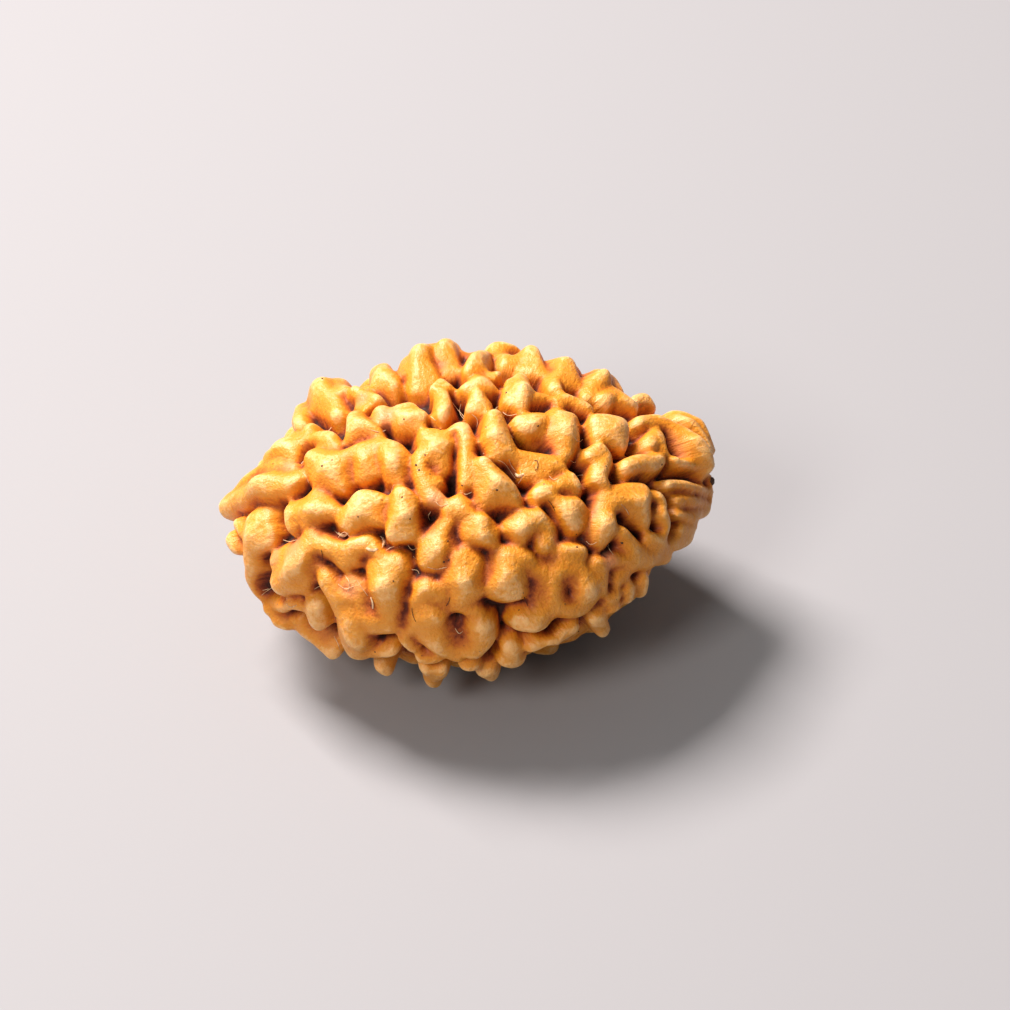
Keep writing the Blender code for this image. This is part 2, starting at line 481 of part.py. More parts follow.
def add_core(mesh):
    """Adds the oval body under the tubercles."""
    made = bmesh.ops.create_icosphere(mesh, subdivisions=CORE_LEVELS, radius=1.0)
    directions = np.array([vertex.co for vertex in made["verts"]])
    directions /= np.linalg.norm(directions, axis=1)[:, None]
    for vertex, point in zip(made["verts"], body_points(directions, RELIEF_SIDE)):
        vertex.co = point


def ripple(points, length, seed):
    """A smooth irregular wave between about -1 and 1 through space."""
    draw = np.random.default_rng(seed)
    total = np.zeros(len(points))
    for _ in range(RIPPLES):
        course = draw.normal(size=3)
        course *= 2 * np.pi / (np.linalg.norm(course) * length * draw.uniform(0.7, 1.4))
        total += np.sin(points @ course + draw.uniform(0, 2 * np.pi))
    return total / RIPPLES ** 0.5


def joined_balls():
    """The core and every hull in one mesh, still crossing each other."""
    mesh = bmesh.new()
    add_core(mesh)
    sphere = unit_ball()
    for chain in all_chains():
        for pair in zip(chain, chain[1:]):
            add_hull(mesh, pair, sphere)
    for face in all_faces():
        add_hull(mesh, face, sphere)
    joined = bpy.data.meshes.new("joined_balls")
    mesh.to_mesh(joined)
    mesh.free()
    return joined


def worked_in(thing):
    """A new mesh with the object's modifiers worked in, which then come off it."""
    graph = bpy.context.evaluated_depsgraph_get()
    worked = bpy.data.meshes.new_from_object(thing.evaluated_get(graph))
    thing.modifiers.clear()
    return worked


def fuse(thing, voxel):
    """Makes one closed skin round everything in the object's mesh, eased where lobes meet."""
    skin = thing.modifiers.new("skin", "REMESH")
    skin.mode = "VOXEL"
    skin.voxel_size = voxel
    ease = thing.modifiers.new("ease", "SMOOTH")
    ease.factor = 0.5
    ease.iterations = SMOOTH_ROUNDS
    thing.data = worked_in(thing)


def wave_surface(mesh):
    """Moves the whole surface a little, so that no lobe is exactly round."""
    points = np.array([vertex.co for vertex in mesh.vertices])
    points += WAVE * np.column_stack([ripple(points, WAVE_LENGTH, seed) for seed in (1, 2, 3)])
    mesh.vertices.foreach_set("co", points.ravel())


def thin_out(thing):
    """Brings the mesh down to its triangle count, with the most of them where it curves most."""
    thinner = thing.modifiers.new("thin_out", "DECIMATE")
    thinner.ratio = TRIANGLES / (2 * len(thing.data.polygons))
    thing.data = worked_in(thing)


def cut_rest(mesh, level):
    """Cuts the lowest tips off flat at a height, and closes each cut."""
    geometry = mesh.verts[:] + mesh.edges[:] + mesh.faces[:]
    cut = bmesh.ops.bisect_plane(mesh, geom=geometry, plane_co=(0, 0, level), plane_no=(0, 0, -1),
                                 clear_outer=True, dist=CUT_MERGE)
    rims = [item for item in cut["geom_cut"] if isinstance(item, bmesh.types.BMEdge)]
    bmesh.ops.holes_fill(mesh, edges=rims, sides=0)


def set_down(thing):
    """Cuts the rest spots and puts the seed's box on the origin by the middle of its base."""
    shape = bmesh.new()
    shape.from_mesh(thing.data)
    level = min(vertex.co.z for vertex in shape.verts) + REST_CUT
    cut_rest(shape, level)
    bmesh.ops.triangulate(shape, faces=shape.faces[:])
    middle = [(min(axis) + max(axis)) / 2 for axis in zip(*(vertex.co for vertex in shape.verts))]
    bmesh.ops.translate(shape, verts=shape.verts[:], vec=(-middle[0], -middle[1], -level))
    shape.to_mesh(thing.data)
    shape.free()


def stone_material():
    """The seed's own brown, dry and a little polished."""
    material = bpy.data.materials.new("polished_seed_stone")
    material.use_nodes = True
    shader = material.node_tree.nodes["Principled BSDF"]
    shader.inputs["Base Color"].default_value = STONE_COLOR
    shader.inputs["Roughness"].default_value = STONE_ROUGHNESS
    shader.inputs["Metallic"].default_value = 0.0
    return material


def make_seed():
    """The whole seed in its own collection."""
    seed = bpy.data.objects.new("seed_stone", joined_balls())
    family = bpy.data.collections.new("rudraksha_seed")
    bpy.context.scene.collection.children.link(family)
    family.objects.link(seed)
    fuse(seed, VOXEL)
    wave_surface(seed.data)
    thin_out(seed)
    set_down(seed)
    seed.data.materials.append(stone_material())


for thing in list(bpy.data.objects):
    bpy.data.objects.remove(thing)
make_seed()
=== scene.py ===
# Rudraksha seed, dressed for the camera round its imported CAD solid. Metres, +Z up.

import math

import bmesh
import bpy
import numpy as np
from mathutils import Matrix, Vector
from mathutils.bvhtree import BVHTree


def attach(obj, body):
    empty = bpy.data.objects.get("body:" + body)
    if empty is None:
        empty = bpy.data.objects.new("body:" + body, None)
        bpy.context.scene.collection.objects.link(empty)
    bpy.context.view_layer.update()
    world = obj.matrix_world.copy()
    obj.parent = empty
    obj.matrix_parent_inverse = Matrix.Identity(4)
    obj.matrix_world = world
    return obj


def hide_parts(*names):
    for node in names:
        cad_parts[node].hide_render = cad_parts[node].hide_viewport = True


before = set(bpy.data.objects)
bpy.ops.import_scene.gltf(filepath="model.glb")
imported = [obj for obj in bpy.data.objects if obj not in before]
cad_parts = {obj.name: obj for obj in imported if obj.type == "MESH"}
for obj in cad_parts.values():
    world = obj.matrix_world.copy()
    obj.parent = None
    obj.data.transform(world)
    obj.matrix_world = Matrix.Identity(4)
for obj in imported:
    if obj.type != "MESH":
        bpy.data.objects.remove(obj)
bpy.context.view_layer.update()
MM = 0.001

# The seed stone
# One stony seed that grew as a whole: a flattened oval body with a keel at one pole, covered in deep
# tubercles. They are laid lobe by lobe as in the CAD solid, and only the skin over them is finer.

# Driving dimensions of the seed, over the tips of its tubercles
LENGTH = 24.0 * MM
WIDTH = 18.6 * MM
HEIGHT = 14.4 * MM
RELIEF_SIDE = 1.6 * MM
RELIEF_END = 1.2 * MM
REST_CUT = 0.55 * MM

# How the oval runs in to its two poles, and how the blunt one is bent back and up
TAPER = 0.7
NOSE_BACK = 0.6 * MM
NOSE_LIFT = 0.8 * MM
NOSE_START = 0.25

# The photograph's view of the seed, by which the tubercles that it shows are placed
VIEW_AZIMUTH = -4.6
VIEW_ELEVATION = 42.0
VIEW_DISTANCE = 0.27
PIXELS_PER_METRE = 20800.0
SEED_PIXEL = (467.0, 514.0)
RAY_STEPS = 1200

# A tubercle is a chain of balls, each with a broader root sunk in the body, hulled pair by pair
ROOT_DEPTH = 1.2 * MM
ROOT_WIDEN = 1.22
ROOT_EXTRA = 0.12 * MM
ROOT_LARGEST = 1.4 * MM
BALL_LEVELS = 3
DOME = 0.4

# Tubercles on the sides that the photograph does not show
DRAW_SEED = 11
SPACING = 1.3 * MM
LINE_ROOM = 0.75 * MM
HIDDEN_FACING = 0.08
HIDDEN_LENGTH = (0.5 * MM, 2.6 * MM)
HIDDEN_RADIUS = (0.46 * MM, 0.84 * MM)
HIDDEN_SINK = 0.2 * MM
RIM_SINK = 1.2 * MM
RIM_FACING = -0.4
HIDDEN_SWING = 0.8
FOLD_CHANCE = 0.55
FOLD_TURN = 1.3
SPOTS = 6000
LEVEL_STEPS = 3
LINK_POINTS = 6
END_NARROWING = 0.2
FOLD_LENGTH = 0.7
SPOT_INSET = 0.5 * MM

# The line on the underside, as a turn about the long axis in degrees that sways along the seed
LINE_END = 0.97
LINE_POINTS = 120
UNDER_TURN = 268.0
UNDER_SWAY = 7.0
UNDER_WAVES = 3.1

# Small unevenness of the whole surface
WAVE = 0.05 * MM
WAVE_LENGTH = 1.6 * MM
WAVE_SPREAD = (0.7, 1.4)
RIPPLES = 5

# Mesh sizes
CORE_LEVELS = 5
VOXEL = 0.1 * MM
SMOOTH_ROUNDS = 4
TRIANGLES = 190000
CUT_MERGE = 0.00001 * MM
TINY = 1e-9

# The line that parts the lobes on the top, as pixels of the photograph
MUKHI_LINE = [(224, 503), (240, 490), (261, 474), (292, 466), (312, 451), (345, 449), (380, 434),
              (415, 430), (478, 422), (545, 409), (625, 415), (658, 415), (680, 426), (700, 434),
              (711, 453), (713, 478)]

# The lobes that the photograph shows. A lobe is a list of chains of balls. A ball is the pixel of
# its middle, its radius in pixels and, where they aren't none, its depth under the tips in pixels
# and how many pixels nearer the camera it lies
LOBES = {
    "b": [[(275, 459, 13), (287, 449, 13), (297, 440, 11)]],
    "a_knob": [[(303, 412, 11), (302, 427, 10, 3)]],
    "a": [[(321, 392, 13), (333, 391, 15), (344, 396, 11)], [(321, 392, 13), (318, 407, 12, 4)],
          [(333, 391, 15), (331, 407, 15, 4), (341, 416, 12, 8)]],
    "a_low": [[(356, 395, 9, 1), (367, 397, 9, 2), (377, 402, 7, 5)]],
    "k_side": [[(360, 408, 7, 9), (366, 412, 6, 9)]],
    "c_back": [[(311, 431, 9), (308, 441, 8, 2)]],
    "c_front": [[(319, 438, 9), (330, 443, 9), (339, 447, 6, 1)]],
    "h": [[(382, 376, 13), (384, 389, 13, 4)], [(382, 376, 12), (393, 388, 9, 4)]],
    "i": [[(407, 376, 12), (421, 357, 12), (434, 358, 12), (449, 353, 13), (463, 361, 9, 2)],
          [(421, 357, 12), (418, 380, 13, 5)], [(434, 358, 12), (426, 375, 13, 5), (424, 391, 11, 9)],
          [(449, 353, 13), (447, 368, 10, 6)]],
    "j_back": [[(436, 391, 7), (441, 384, 7), (449, 387, 7)]],
    "j_front": [[(443, 395, 8), (443, 408, 10), (442, 417, 8, 2)]],
    "k": [[(383, 414, 11, -1), (385, 421, 10, 1)]],
    "l": [[(356, 421, 11), (355, 436, 10, 4)], [(356, 421, 11), (369, 431, 9, 2), (379, 435, 6, 2)]],
    "m": [[(401, 415, 11), (411, 411, 10), (421, 419, 9)], [(401, 415, 11), (404, 426, 10, 5)],
          [(411, 411, 10), (414, 424, 10, 4)]],
    "p": [[(498, 356, 15), (508, 358, 14, 1)], [(499, 359, 14), (505, 368, 11, 2)]],
    "q": [[(471, 372, 9), (479, 362, 12), (486, 358, 9)], [(479, 362, 12), (478, 376, 10, 5)]],
    "q_end": [[(493, 378, 6, 3), (499, 374, 5, 3)]],
    "r": [[(512, 366, 8, 2), (525, 361, 9), (533, 360, 11), (537, 371, 9, 3)]],
    "s": [[(466, 390, 7), (473, 384, 9), (480, 384, 10), (489, 391, 8, 3)]],
    "t": [[(479, 400, 10), (478, 408, 9, 2)], [(479, 400, 9), (487, 405, 8, 2)]],
    "u_left": [[(511, 386, 9), (509, 400, 8, 2)]],
    "u_right": [[(521, 383, 10), (520, 398, 12, 1), (520, 405, 10, 2)], [(520, 398, 12, 1),
                 (533, 402, 9, 2), (543, 402, 8, 2)]],
    "v": [[(552, 371, 11), (563, 371, 12), (572, 379, 11, 2)], [(552, 371, 11), (549, 385, 8, 4)],
          [(563, 371, 12), (566, 385, 11, 5)]],
    "v_knob": [[(554, 385, 8), (556, 391, 8)]],
    "w": [[(556, 404, 8), (567, 402, 10), (578, 405, 8), (588, 410, 6, 2)]],
    "aa": [[(588, 387, 10), (597, 381, 13), (607, 386, 11), (618, 394, 8)], [(588, 387, 10),
            (586, 400, 8, 4)], [(597, 381, 12), (597, 396, 9, 5)]],
    "ab": [[(602, 402, 10, -1), (611, 398, 13, -2), (621, 404, 10, -1), (632, 408, 7)]],
    "ac": [[(636, 403, 7, 2), (643, 403, 10), (649, 408, 9, 1)]],
    "af": [[(672, 416, 7), (685, 417, 7), (697, 424, 7), (706, 437, 6), (711, 450, 6)],
           [(676, 420, 7, 0, 12), (690, 425, 7, 0, 14), (702, 438, 6, 0, 14), (709, 452, 6, 0, 12)]],
    "keel_back": [[(228, 500, 6), (244, 484, 7), (262, 472, 8), (278, 468, 8), (294, 469, 8)]],
    "keel_front": [[(227, 509, 10), (244, 500, 12), (262, 489, 14), (282, 484, 15), (300, 482, 12)]],
    "tip_under": [[(238, 524, 7, 1), (246, 534, 7, 2)]],
    "left_bump": [[(233, 540, 9), (238, 548, 8)]],
    "e": [[(268, 520, 12), (256, 524, 12), (255, 545, 12), (252, 560, 10, 1)], [(256, 532, 12),
           (271, 532, 11, 2)], [(268, 520, 12), (270, 541, 10, 4)]],
    "e_side": [[(254, 562, 10), (254, 576, 10), (263, 593, 9), (274, 603, 8), (290, 606, 7),
                (301, 605, 6, 1)]],
    "f": [[(296, 515, 12), (310, 513, 13), (322, 505, 13), (330, 511, 10)], [(296, 515, 12),
           (294, 527, 9, 2)], [(316, 498, 9), (320, 508, 12)], [(310, 515, 13), (319, 518, 9, 3)]],
    "g": [[(318, 542, 16), (307, 556, 18), (295, 570, 19), (287, 580, 17)], [(318, 542, 15),
           (332, 549, 12)], [(308, 556, 16), (322, 567, 10, 5)], [(290, 575, 18), (306, 583, 13, 2)]],
    "g_pink": [[(279, 561, 11, 1), (292, 557, 13, 1)]],
    "g_fold": [[(340, 552, 12, 1), (348, 563, 10, 4)]],
    "g_right": [[(355, 548, 12), (368, 546, 10), (376, 551, 7)], [(352, 550, 12), (356, 561, 9, 5)]],
    "d": [[(317, 462, 13), (330, 463, 14), (346, 463, 13)], [(322, 468, 14), (333, 482, 14, 3)],
          [(346, 463, 12), (345, 478, 12, 4)], [(346, 461, 12), (362, 456, 12), (373, 452, 11)],
          [(368, 456, 12, 2), (369, 468, 11, 6)], [(380, 449, 12), (392, 452, 13), (398, 463, 12)],
          [(396, 458, 12), (396, 475, 12, 3)]],
    "ax": [[(344, 521, 10), (354, 513, 13), (366, 503, 14), (377, 503, 12)], [(366, 503, 14),
            (371, 518, 13, 2)], [(354, 513, 13), (361, 521, 11, 2)], [(377, 503, 12),
            (379, 517, 9, 3)]],
    "blade": [[(402, 496, 10), (400, 514, 14), (400, 530, 13)], [(402, 496, 10), (410, 506, 12),
               (409, 528, 12, 1)], [(400, 514, 14), (409, 516, 13)]],
    "n": [[(426, 439, 11), (437, 438, 12), (444, 446, 10)], [(438, 441, 12), (440, 459, 12, 3),
           (443, 469, 9, 6)]],
    "n_low": [[(422, 457, 10), (422, 475, 10), (428, 489, 10, 2)], [(422, 475, 10), (436, 484, 9, 5)]],
    "pink_knob": [[(432, 498, 8), (438, 499, 7)]],
    "bq": [[(450, 510, 10), (459, 507, 13, -1), (463, 512, 12, -1)]],
    "br": [[(451, 521, 11, 4), (445, 531, 13, 4), (437, 543, 14, 3), (431, 554, 13, 2),
            (439, 563, 12, 3)]],
    "o": [[(453, 431, 7), (461, 431, 10), (466, 446, 9), (467, 465, 8), (467, 483, 8, 1)]],
    "x": [[(492, 420, 10), (495, 434, 13), (500, 449, 12, 1)], [(495, 434, 13), (508, 450, 10, 2),
           (514, 460, 8, 5)]],
    "y_left": [[(520, 424, 10), (532, 423, 12), (543, 422, 10)], [(532, 424, 12), (534, 433, 9, 4)]],
    "y_right": [[(556, 420, 12), (567, 423, 13), (569, 437, 12)], [(558, 422, 12), (561, 440, 14, 2),
                 (564, 454, 10, 3)]],
    "y_low": [[(521, 458, 9, 4), (534, 462, 10, 4), (548, 463, 10, 4), (558, 469, 9, 4)],
              [(534, 464, 10, 4), (536, 477, 9, 4)], [(548, 465, 10, 4), (547, 476, 8, 5)],
              [(523, 461, 9, 4), (527, 474, 8, 5)]],
    "z": [[(482, 464, 8), (487, 478, 12), (490, 495, 15)], [(487, 478, 12), (501, 489, 13),
           (510, 500, 12)], [(490, 495, 14), (508, 500, 12)]],
    "ba": [[(540, 496, 10), (548, 491, 11), (552, 498, 9)]],
    "bb": [[(562, 484, 9), (570, 481, 10), (575, 486, 8)]],
    "bc": [[(566, 511, 15), (570, 518, 17)]],
    "bd": [[(471, 531, 12), (481, 527, 15), (487, 534, 13)], [(481, 527, 14), (480, 538, 12, 2)]],
    "be": [[(515, 530, 13), (523, 521, 14), (535, 521, 13), (546, 533, 11), (545, 545, 11)],
           [(515, 530, 12), (522, 536, 10, 3)]],
    "bf": [[(464, 562, 15), (466, 580, 17), (462, 595, 14)], [(466, 580, 15), (450, 582, 13, 2)],
           [(472, 565, 13, 1), (474, 583, 13, 1)]],
    "bg": [[(505, 560, 16), (502, 578, 19), (507, 588, 16)], [(505, 560, 15), (515, 578, 12)]],
    "bg_side": [[(514, 558, 12, 1), (526, 561, 10, 1), (532, 571, 8, 2)]],
    "bh": [[(554, 571, 15), (552, 588, 14), (549, 604, 15), (537, 616, 14), (521, 620, 13)],
           [(556, 569, 14), (574, 570, 15), (586, 580, 15), (585, 594, 15), (577, 603, 14),
            (566, 606, 13)], [(549, 606, 12), (566, 606, 13)]],
    "bi_back": [[(564, 553, 11), (577, 553, 11)], [(566, 555, 11), (570, 564, 12)]],
    "bi_side": [[(596, 562, 10, 1), (600, 576, 10), (600, 590, 9)]],
    "bi": [[(605, 504, 13), (617, 498, 13), (630, 494, 11), (642, 493, 10), (644, 507, 9),
            (643, 521, 9, 1)]],
    "bj": [[(601, 515, 13), (600, 530, 14), (597, 537, 13)]],
    "bk": [[(656, 497, 9, 2), (661, 504, 7, 2)]],
    "bl": [[(660, 515, 9), (665, 524, 8), (662, 533, 8)]],
    "bm": [[(648, 538, 8), (659, 545, 9), (664, 548, 7)]],
    "bm_back": [[(654, 559, 8, 1), (663, 557, 9, 1)]],
    "bo": [[(620, 535, 11), (629, 549, 12), (640, 560, 12), (653, 558, 9)], [(610, 560, 11, 2),
            (630, 562, 12)]],
    "ah": [[(626, 468, 10), (638, 463, 10), (649, 466, 11, 1), (659, 462, 8, 2)]],
    "ai": [[(604, 462, 9), (600, 469, 11), (597, 480, 11), (603, 484, 8)]],
    "ai_back": [[(589, 456, 8), (600, 451, 9), (607, 456, 7)]],
    "ad": [[(597, 427, 12), (608, 426, 12), (618, 429, 11)], [(597, 427, 11), (598, 437, 9, 3)],
           [(616, 428, 12), (618, 443, 10, 2)]],
    "ae": [[(640, 424, 10), (654, 425, 11, 0, 3), (668, 431, 11, 0, 14), (682, 437, 11, 0, 34),
            (693, 445, 10, 0, 38), (702, 456, 9, 0, 34), (709, 468, 7, 0, 24)], [(655, 426, 10),
            (652, 434, 9, 5)]],
    "ae_low": [[(674, 461, 6, 1), (688, 465, 6, 1), (700, 471, 6), (709, 477, 5)]],
    "ag": [[(648, 446, 10), (658, 439, 9)], [(656, 441, 10), (661, 453, 8, 3)]],
    "r_top": [[(669, 484, 5, 1), (684, 485, 5), (698, 488, 5), (709, 492, 5)]],
    "r_mid": [[(677, 500, 5, 1), (692, 501, 5), (705, 503, 5)]],
    "r_low": [[(677, 514, 5, 1), (691, 516, 6), (704, 514, 6)]],
    "r_under": [[(680, 530, 6), (692, 527, 6)]],
    "r_edge": [[(669, 543, 9, 1), (684, 537, 10)]],
    "r_tip": [[(710, 480, 4), (709, 495, 4), (707, 510, 5)]],
    "strip": [[(268, 608, 7), (278, 614, 7)]],
    "finger_left": [[(279, 620, 8), (288, 626, 7)]],
    "ll_back": [[(288, 614, 8, 3), (299, 619, 8, 3)], [(304, 630, 8, 1), (314, 636, 8, 1)]],
    "ll": [[(316, 605, 11), (321, 618, 13)]],
    "ll_low": [[(322, 640, 10), (333, 650, 11)]],
    "bp": [[(329, 579, 12, 1), (339, 592, 12, 1), (349, 610, 15), (354, 628, 17), (359, 643, 17)],
           [(350, 610, 14), (364, 616, 12, 1)], [(342, 594, 12, 1), (359, 599, 10, 3)]],
    "bpc": [[(387, 570, 20), (396, 572, 21)], [(391, 573, 20), (391, 594, 18, 1), (391, 610, 16),
             (390, 619, 14, 1)]],
    "bp_under": [[(375, 650, 10, 2), (391, 649, 9, 2)]],
    "finger_a": [[(382, 664, 9), (387, 666, 10)]],
    "br_low": [[(427, 586, 14, 2), (441, 592, 13, 3)], [(427, 588, 12, 2), (418, 602, 11, 4)]],
    "p_two": [[(418, 616, 13), (434, 628, 20, -1), (446, 643, 15)], [(421, 617, 14),
               (411, 626, 11, 2)], [(427, 602, 14, 2), (433, 615, 17)]],
    "p_link": [[(442, 604, 9, 7), (460, 604, 9, 7), (474, 609, 10, 4)]],
    "p_small": [[(407, 638, 9, 1), (413, 646, 8, 2)]],
    "p_under": [[(420, 655, 8, 2), (436, 657, 8, 2)]],
    "p_under_b": [[(452, 655, 8, 1), (458, 653, 8, 1)]],
    "finger_b": [[(427, 667, 8), (434, 672, 12), (442, 668, 9)], [(434, 672, 12), (434, 681, 9)]],
    "p_three": [[(478, 622, 16), (482, 636, 15), (473, 646, 13)]],
    "finger_c": [[(487, 667, 11), (491, 673, 10)]],
    "finger_c_side": [[(465, 662, 8), (473, 664, 7)]],
    "block": [[(507, 657, 11), (517, 658, 11)], [(510, 645, 10, 2), (512, 658, 11)]],
    "block_side": [[(531, 646, 8), (539, 644, 7)]],
    "leaf": [[(562, 631, 10, 2), (571, 627, 9, 2)]],
    "leaf_tip": [[(549, 641, 6, 1), (556, 641, 6, 1)]],
    "finger_d": [[(594, 614, 10), (602, 630, 9)]],
    "r_lobe": [[(606, 598, 10), (613, 594, 9)]],
    "r_lobe_low": [[(609, 606, 9, 1), (614, 605, 8, 1)]],
    "leaf_a": [[(628, 587, 8), (627, 597, 8)]],
    "leaf_b": [[(641, 579, 9), (639, 591, 9)]],
    "r_gap": [[(616, 578, 8, 3), (622, 575, 8, 3)]],
    "bp_pulp": [[(350, 581, 9, 4), (361, 588, 10, 3), (364, 602, 10, 2)]],
    "p_bridge": [[(447, 643, 12, 2), (461, 646, 11, 2), (474, 641, 12, 1)]],
    "bh_side": [[(541, 570, 11, 2), (538, 588, 11, 5), (536, 604, 11, 4)]],
    "p_pit": [[(453, 624, 8, 9), (458, 634, 8, 8)]],
}

# The broad faces that the photograph shows on its larger lobes. Each is one hull round all its balls
FACES = {
    "a": [(321, 392, 13), (338, 392, 13), (321, 411, 12, 4), (341, 414, 11, 8)],
    "aa": [(588, 386, 10), (607, 385, 11), (586, 399, 8, 4), (606, 396, 8, 5)],
    "ad": [(596, 426, 11), (618, 427, 11), (619, 444, 9, 2), (600, 438, 9, 3)],
    "ax": [(344, 522, 9), (366, 501, 12), (381, 503, 10), (378, 521, 8, 2), (350, 526, 7, 2)],
    "b": [(275, 460, 12), (289, 450, 12), (296, 458, 9, 3), (297, 443, 10)],
    "bc": [(562, 508, 12), (574, 510, 13), (571, 520, 15, -1)],
    "bd": [(481, 524, 12, -3), (470, 536, 10), (488, 539, 11)],
    "be": [(513, 529, 12), (524, 520, 14), (528, 525, 12, -2), (520, 540, 9, 3)],
    "bf": [(461, 562, 13), (473, 564, 12), (474, 587, 13), (461, 596, 13), (450, 582, 12, 2)],
    "bg": [(502, 560, 16), (517, 563, 12, 2), (497, 585, 15), (516, 587, 14)],
    "bh_foot": [(521, 619, 12), (540, 612, 14), (541, 620, 11, 1), (519, 624, 8, 2)],
    "bh_right": [(576, 570, 13), (590, 580, 11), (587, 597, 12), (578, 600, 11)],
    "bi": [(617, 498, 12), (643, 495, 10), (644, 519, 9, 1), (630, 511, 10, 2)],
    "bj": [(601, 514, 13), (597, 536, 13), (603, 529, 14), (599, 526, 13, -2)],
    "blade": [(403, 494, 9, -4), (395, 533, 10), (411, 532, 11), (413, 506, 9)],
    "bp": [(350, 612, 14), (356, 634, 16, -2), (366, 646, 12, 1), (369, 618, 13, 2)],
    "bp_link": [(366, 612, 12, 2), (388, 614, 14, 1), (388, 622, 12, 2), (368, 624, 12, 2)],
    "bpc": [(385, 568, 19), (395, 569, 20), (391, 588, 19, -2), (391, 606, 17)],
    "br": [(443, 533, 12, 4), (430, 545, 12, 2), (428, 560, 10, 2), (442, 564, 10, 3),
           (448, 545, 11, 4)],
    "d_left": [(315, 460, 12), (346, 461, 12), (321, 481, 11, 3), (343, 486, 11, 3)],
    "d_middle": [(361, 457, 12), (375, 453, 11), (362, 478, 9, 6), (375, 472, 8, 6)],
    "d_right": [(386, 449, 12), (398, 458, 12), (400, 480, 10, 3), (392, 480, 8, 5)],
    "e": [(266, 520, 12), (255, 525, 11), (254, 550, 10), (270, 541, 9, 4)],
    "f": [(294, 513, 11), (322, 503, 12), (333, 513, 8, 1), (310, 524, 8, 3)],
    "g": [(318, 542, 14), (306, 556, 17, -2), (290, 576, 17), (308, 574, 14, 3)],
    "h": [(382, 375, 11, -2), (381, 390, 11, 4), (394, 387, 8, 4)],
    "i_left": [(410, 372, 11), (434, 358, 12), (419, 391, 10, 9), (434, 386, 9, 9)],
    "i_middle": [(424, 360, 12), (446, 358, 12), (430, 378, 10, 6), (444, 373, 9, 7)],
    "i_right": [(449, 353, 13), (436, 360, 11), (440, 374, 9, 6), (456, 374, 8, 6), (448, 378, 8, 8)],
    "keel": [(244, 500, 11), (262, 489, 13), (284, 483, 14), (300, 482, 11), (290, 496, 8, 5),
             (266, 501, 8, 4)],
    "l": [(356, 420, 10, -3), (352, 440, 8, 3), (379, 435, 6, 2)],
    "m": [(400, 414, 10), (421, 418, 8), (402, 428, 9, 4), (420, 428, 7, 4)],
    "n": [(425, 440, 11), (442, 440, 11), (444, 466, 9, 6), (432, 462, 10, 4)],
    "q": [(479, 361, 11, -2), (470, 375, 9), (482, 378, 9, 4)],
    "r": [(525, 361, 9), (533, 359, 10, -1), (538, 376, 8, 4), (522, 372, 8, 4)],
    "s": [(473, 384, 9), (482, 385, 9), (468, 394, 7, 3), (490, 393, 7, 3)],
    "t": [(479, 398, 9, -2), (472, 409, 7, 3), (487, 408, 7, 3)],
    "u": [(521, 382, 9, -2), (513, 402, 7, 2), (522, 408, 8, 2), (528, 400, 8, 2)],
    "v": [(553, 371, 11), (569, 374, 12), (551, 388, 8, 4), (573, 390, 8, 5)],
    "x": [(492, 418, 9, -4), (487, 442, 9), (508, 450, 9), (498, 456, 11, 1)],
    "y_left": [(520, 424, 10), (543, 422, 10), (540, 434, 8, 4), (528, 433, 8, 4)],
    "y_right": [(556, 420, 12), (570, 422, 11), (572, 440, 9), (564, 455, 9, 2), (552, 440, 9, 4)],
    "z": [(482, 463, 7, -6), (484, 500, 10), (514, 500, 10), (500, 480, 10)],
}


def camera_axes():
    """Unit vectors of the photograph's view: towards the camera, to its right and up."""
    azimuth = np.radians(VIEW_AZIMUTH)
    elevation = np.radians(VIEW_ELEVATION)
    level = np.array((np.sin(azimuth), -np.cos(azimuth), 0.0))
    back = level * np.cos(elevation) + np.array((0.0, 0.0, np.sin(elevation)))
    right = np.array((np.cos(azimuth), np.sin(azimuth), 0.0))
    return back, right, np.cross(back, right)


def nose_bend(along):
    """How far the body's centre line lies back and up, at a place from -1 to 1 along it."""
    rise = np.clip((along - NOSE_START) / (1 - NOSE_START), 0, 1) ** 2
    return rise * NOSE_BACK, rise * NOSE_LIFT


def half_sizes(inset):
    """Half sizes of the oval body, an inset below the tips; the ends take less of it."""
    return np.array((LENGTH / 2 - inset * RELIEF_END / RELIEF_SIDE, WIDTH / 2 - inset, HEIGHT / 2 - inset))


def body_points(directions, inset):
    """Points of the oval body at unit directions from its centre."""
    half = half_sizes(inset)
    along = directions[:, 0]
    taper = np.maximum(1 - along ** 2, TINY) ** (TAPER - 0.5)
    back, lift = nose_bend(along)
    return np.column_stack((half[0] * along,
                            half[1] * directions[:, 1] * taper + back,
                            half[2] * directions[:, 2] * taper + lift))


def body_level(points, inset):
    """How far out points stand from the body's centre, 1 being on the oval an inset below the tips."""
    half = half_sizes(inset)
    along = points[:, 0] / half[0]
    back, lift = nose_bend(along)
    ring = np.hypot((points[:, 1] - back) / half[1], (points[:, 2] - lift) / half[2])
    return along ** 2 + ring ** (1 / TAPER)


def outward(point):
    """The unit vector out of the body at a point."""
    slope = point / half_sizes(0.0) ** 2
    return slope / np.linalg.norm(slope)


def sight_ray(x, y):
    """The direction from the photograph's camera through a pixel."""
    back, right, up = camera_axes()
    across = (x - SEED_PIXEL[0]) / (PIXELS_PER_METRE * VIEW_DISTANCE)
    rise = (SEED_PIXEL[1] - y) / (PIXELS_PER_METRE * VIEW_DISTANCE)
    return right * across + up * rise - back


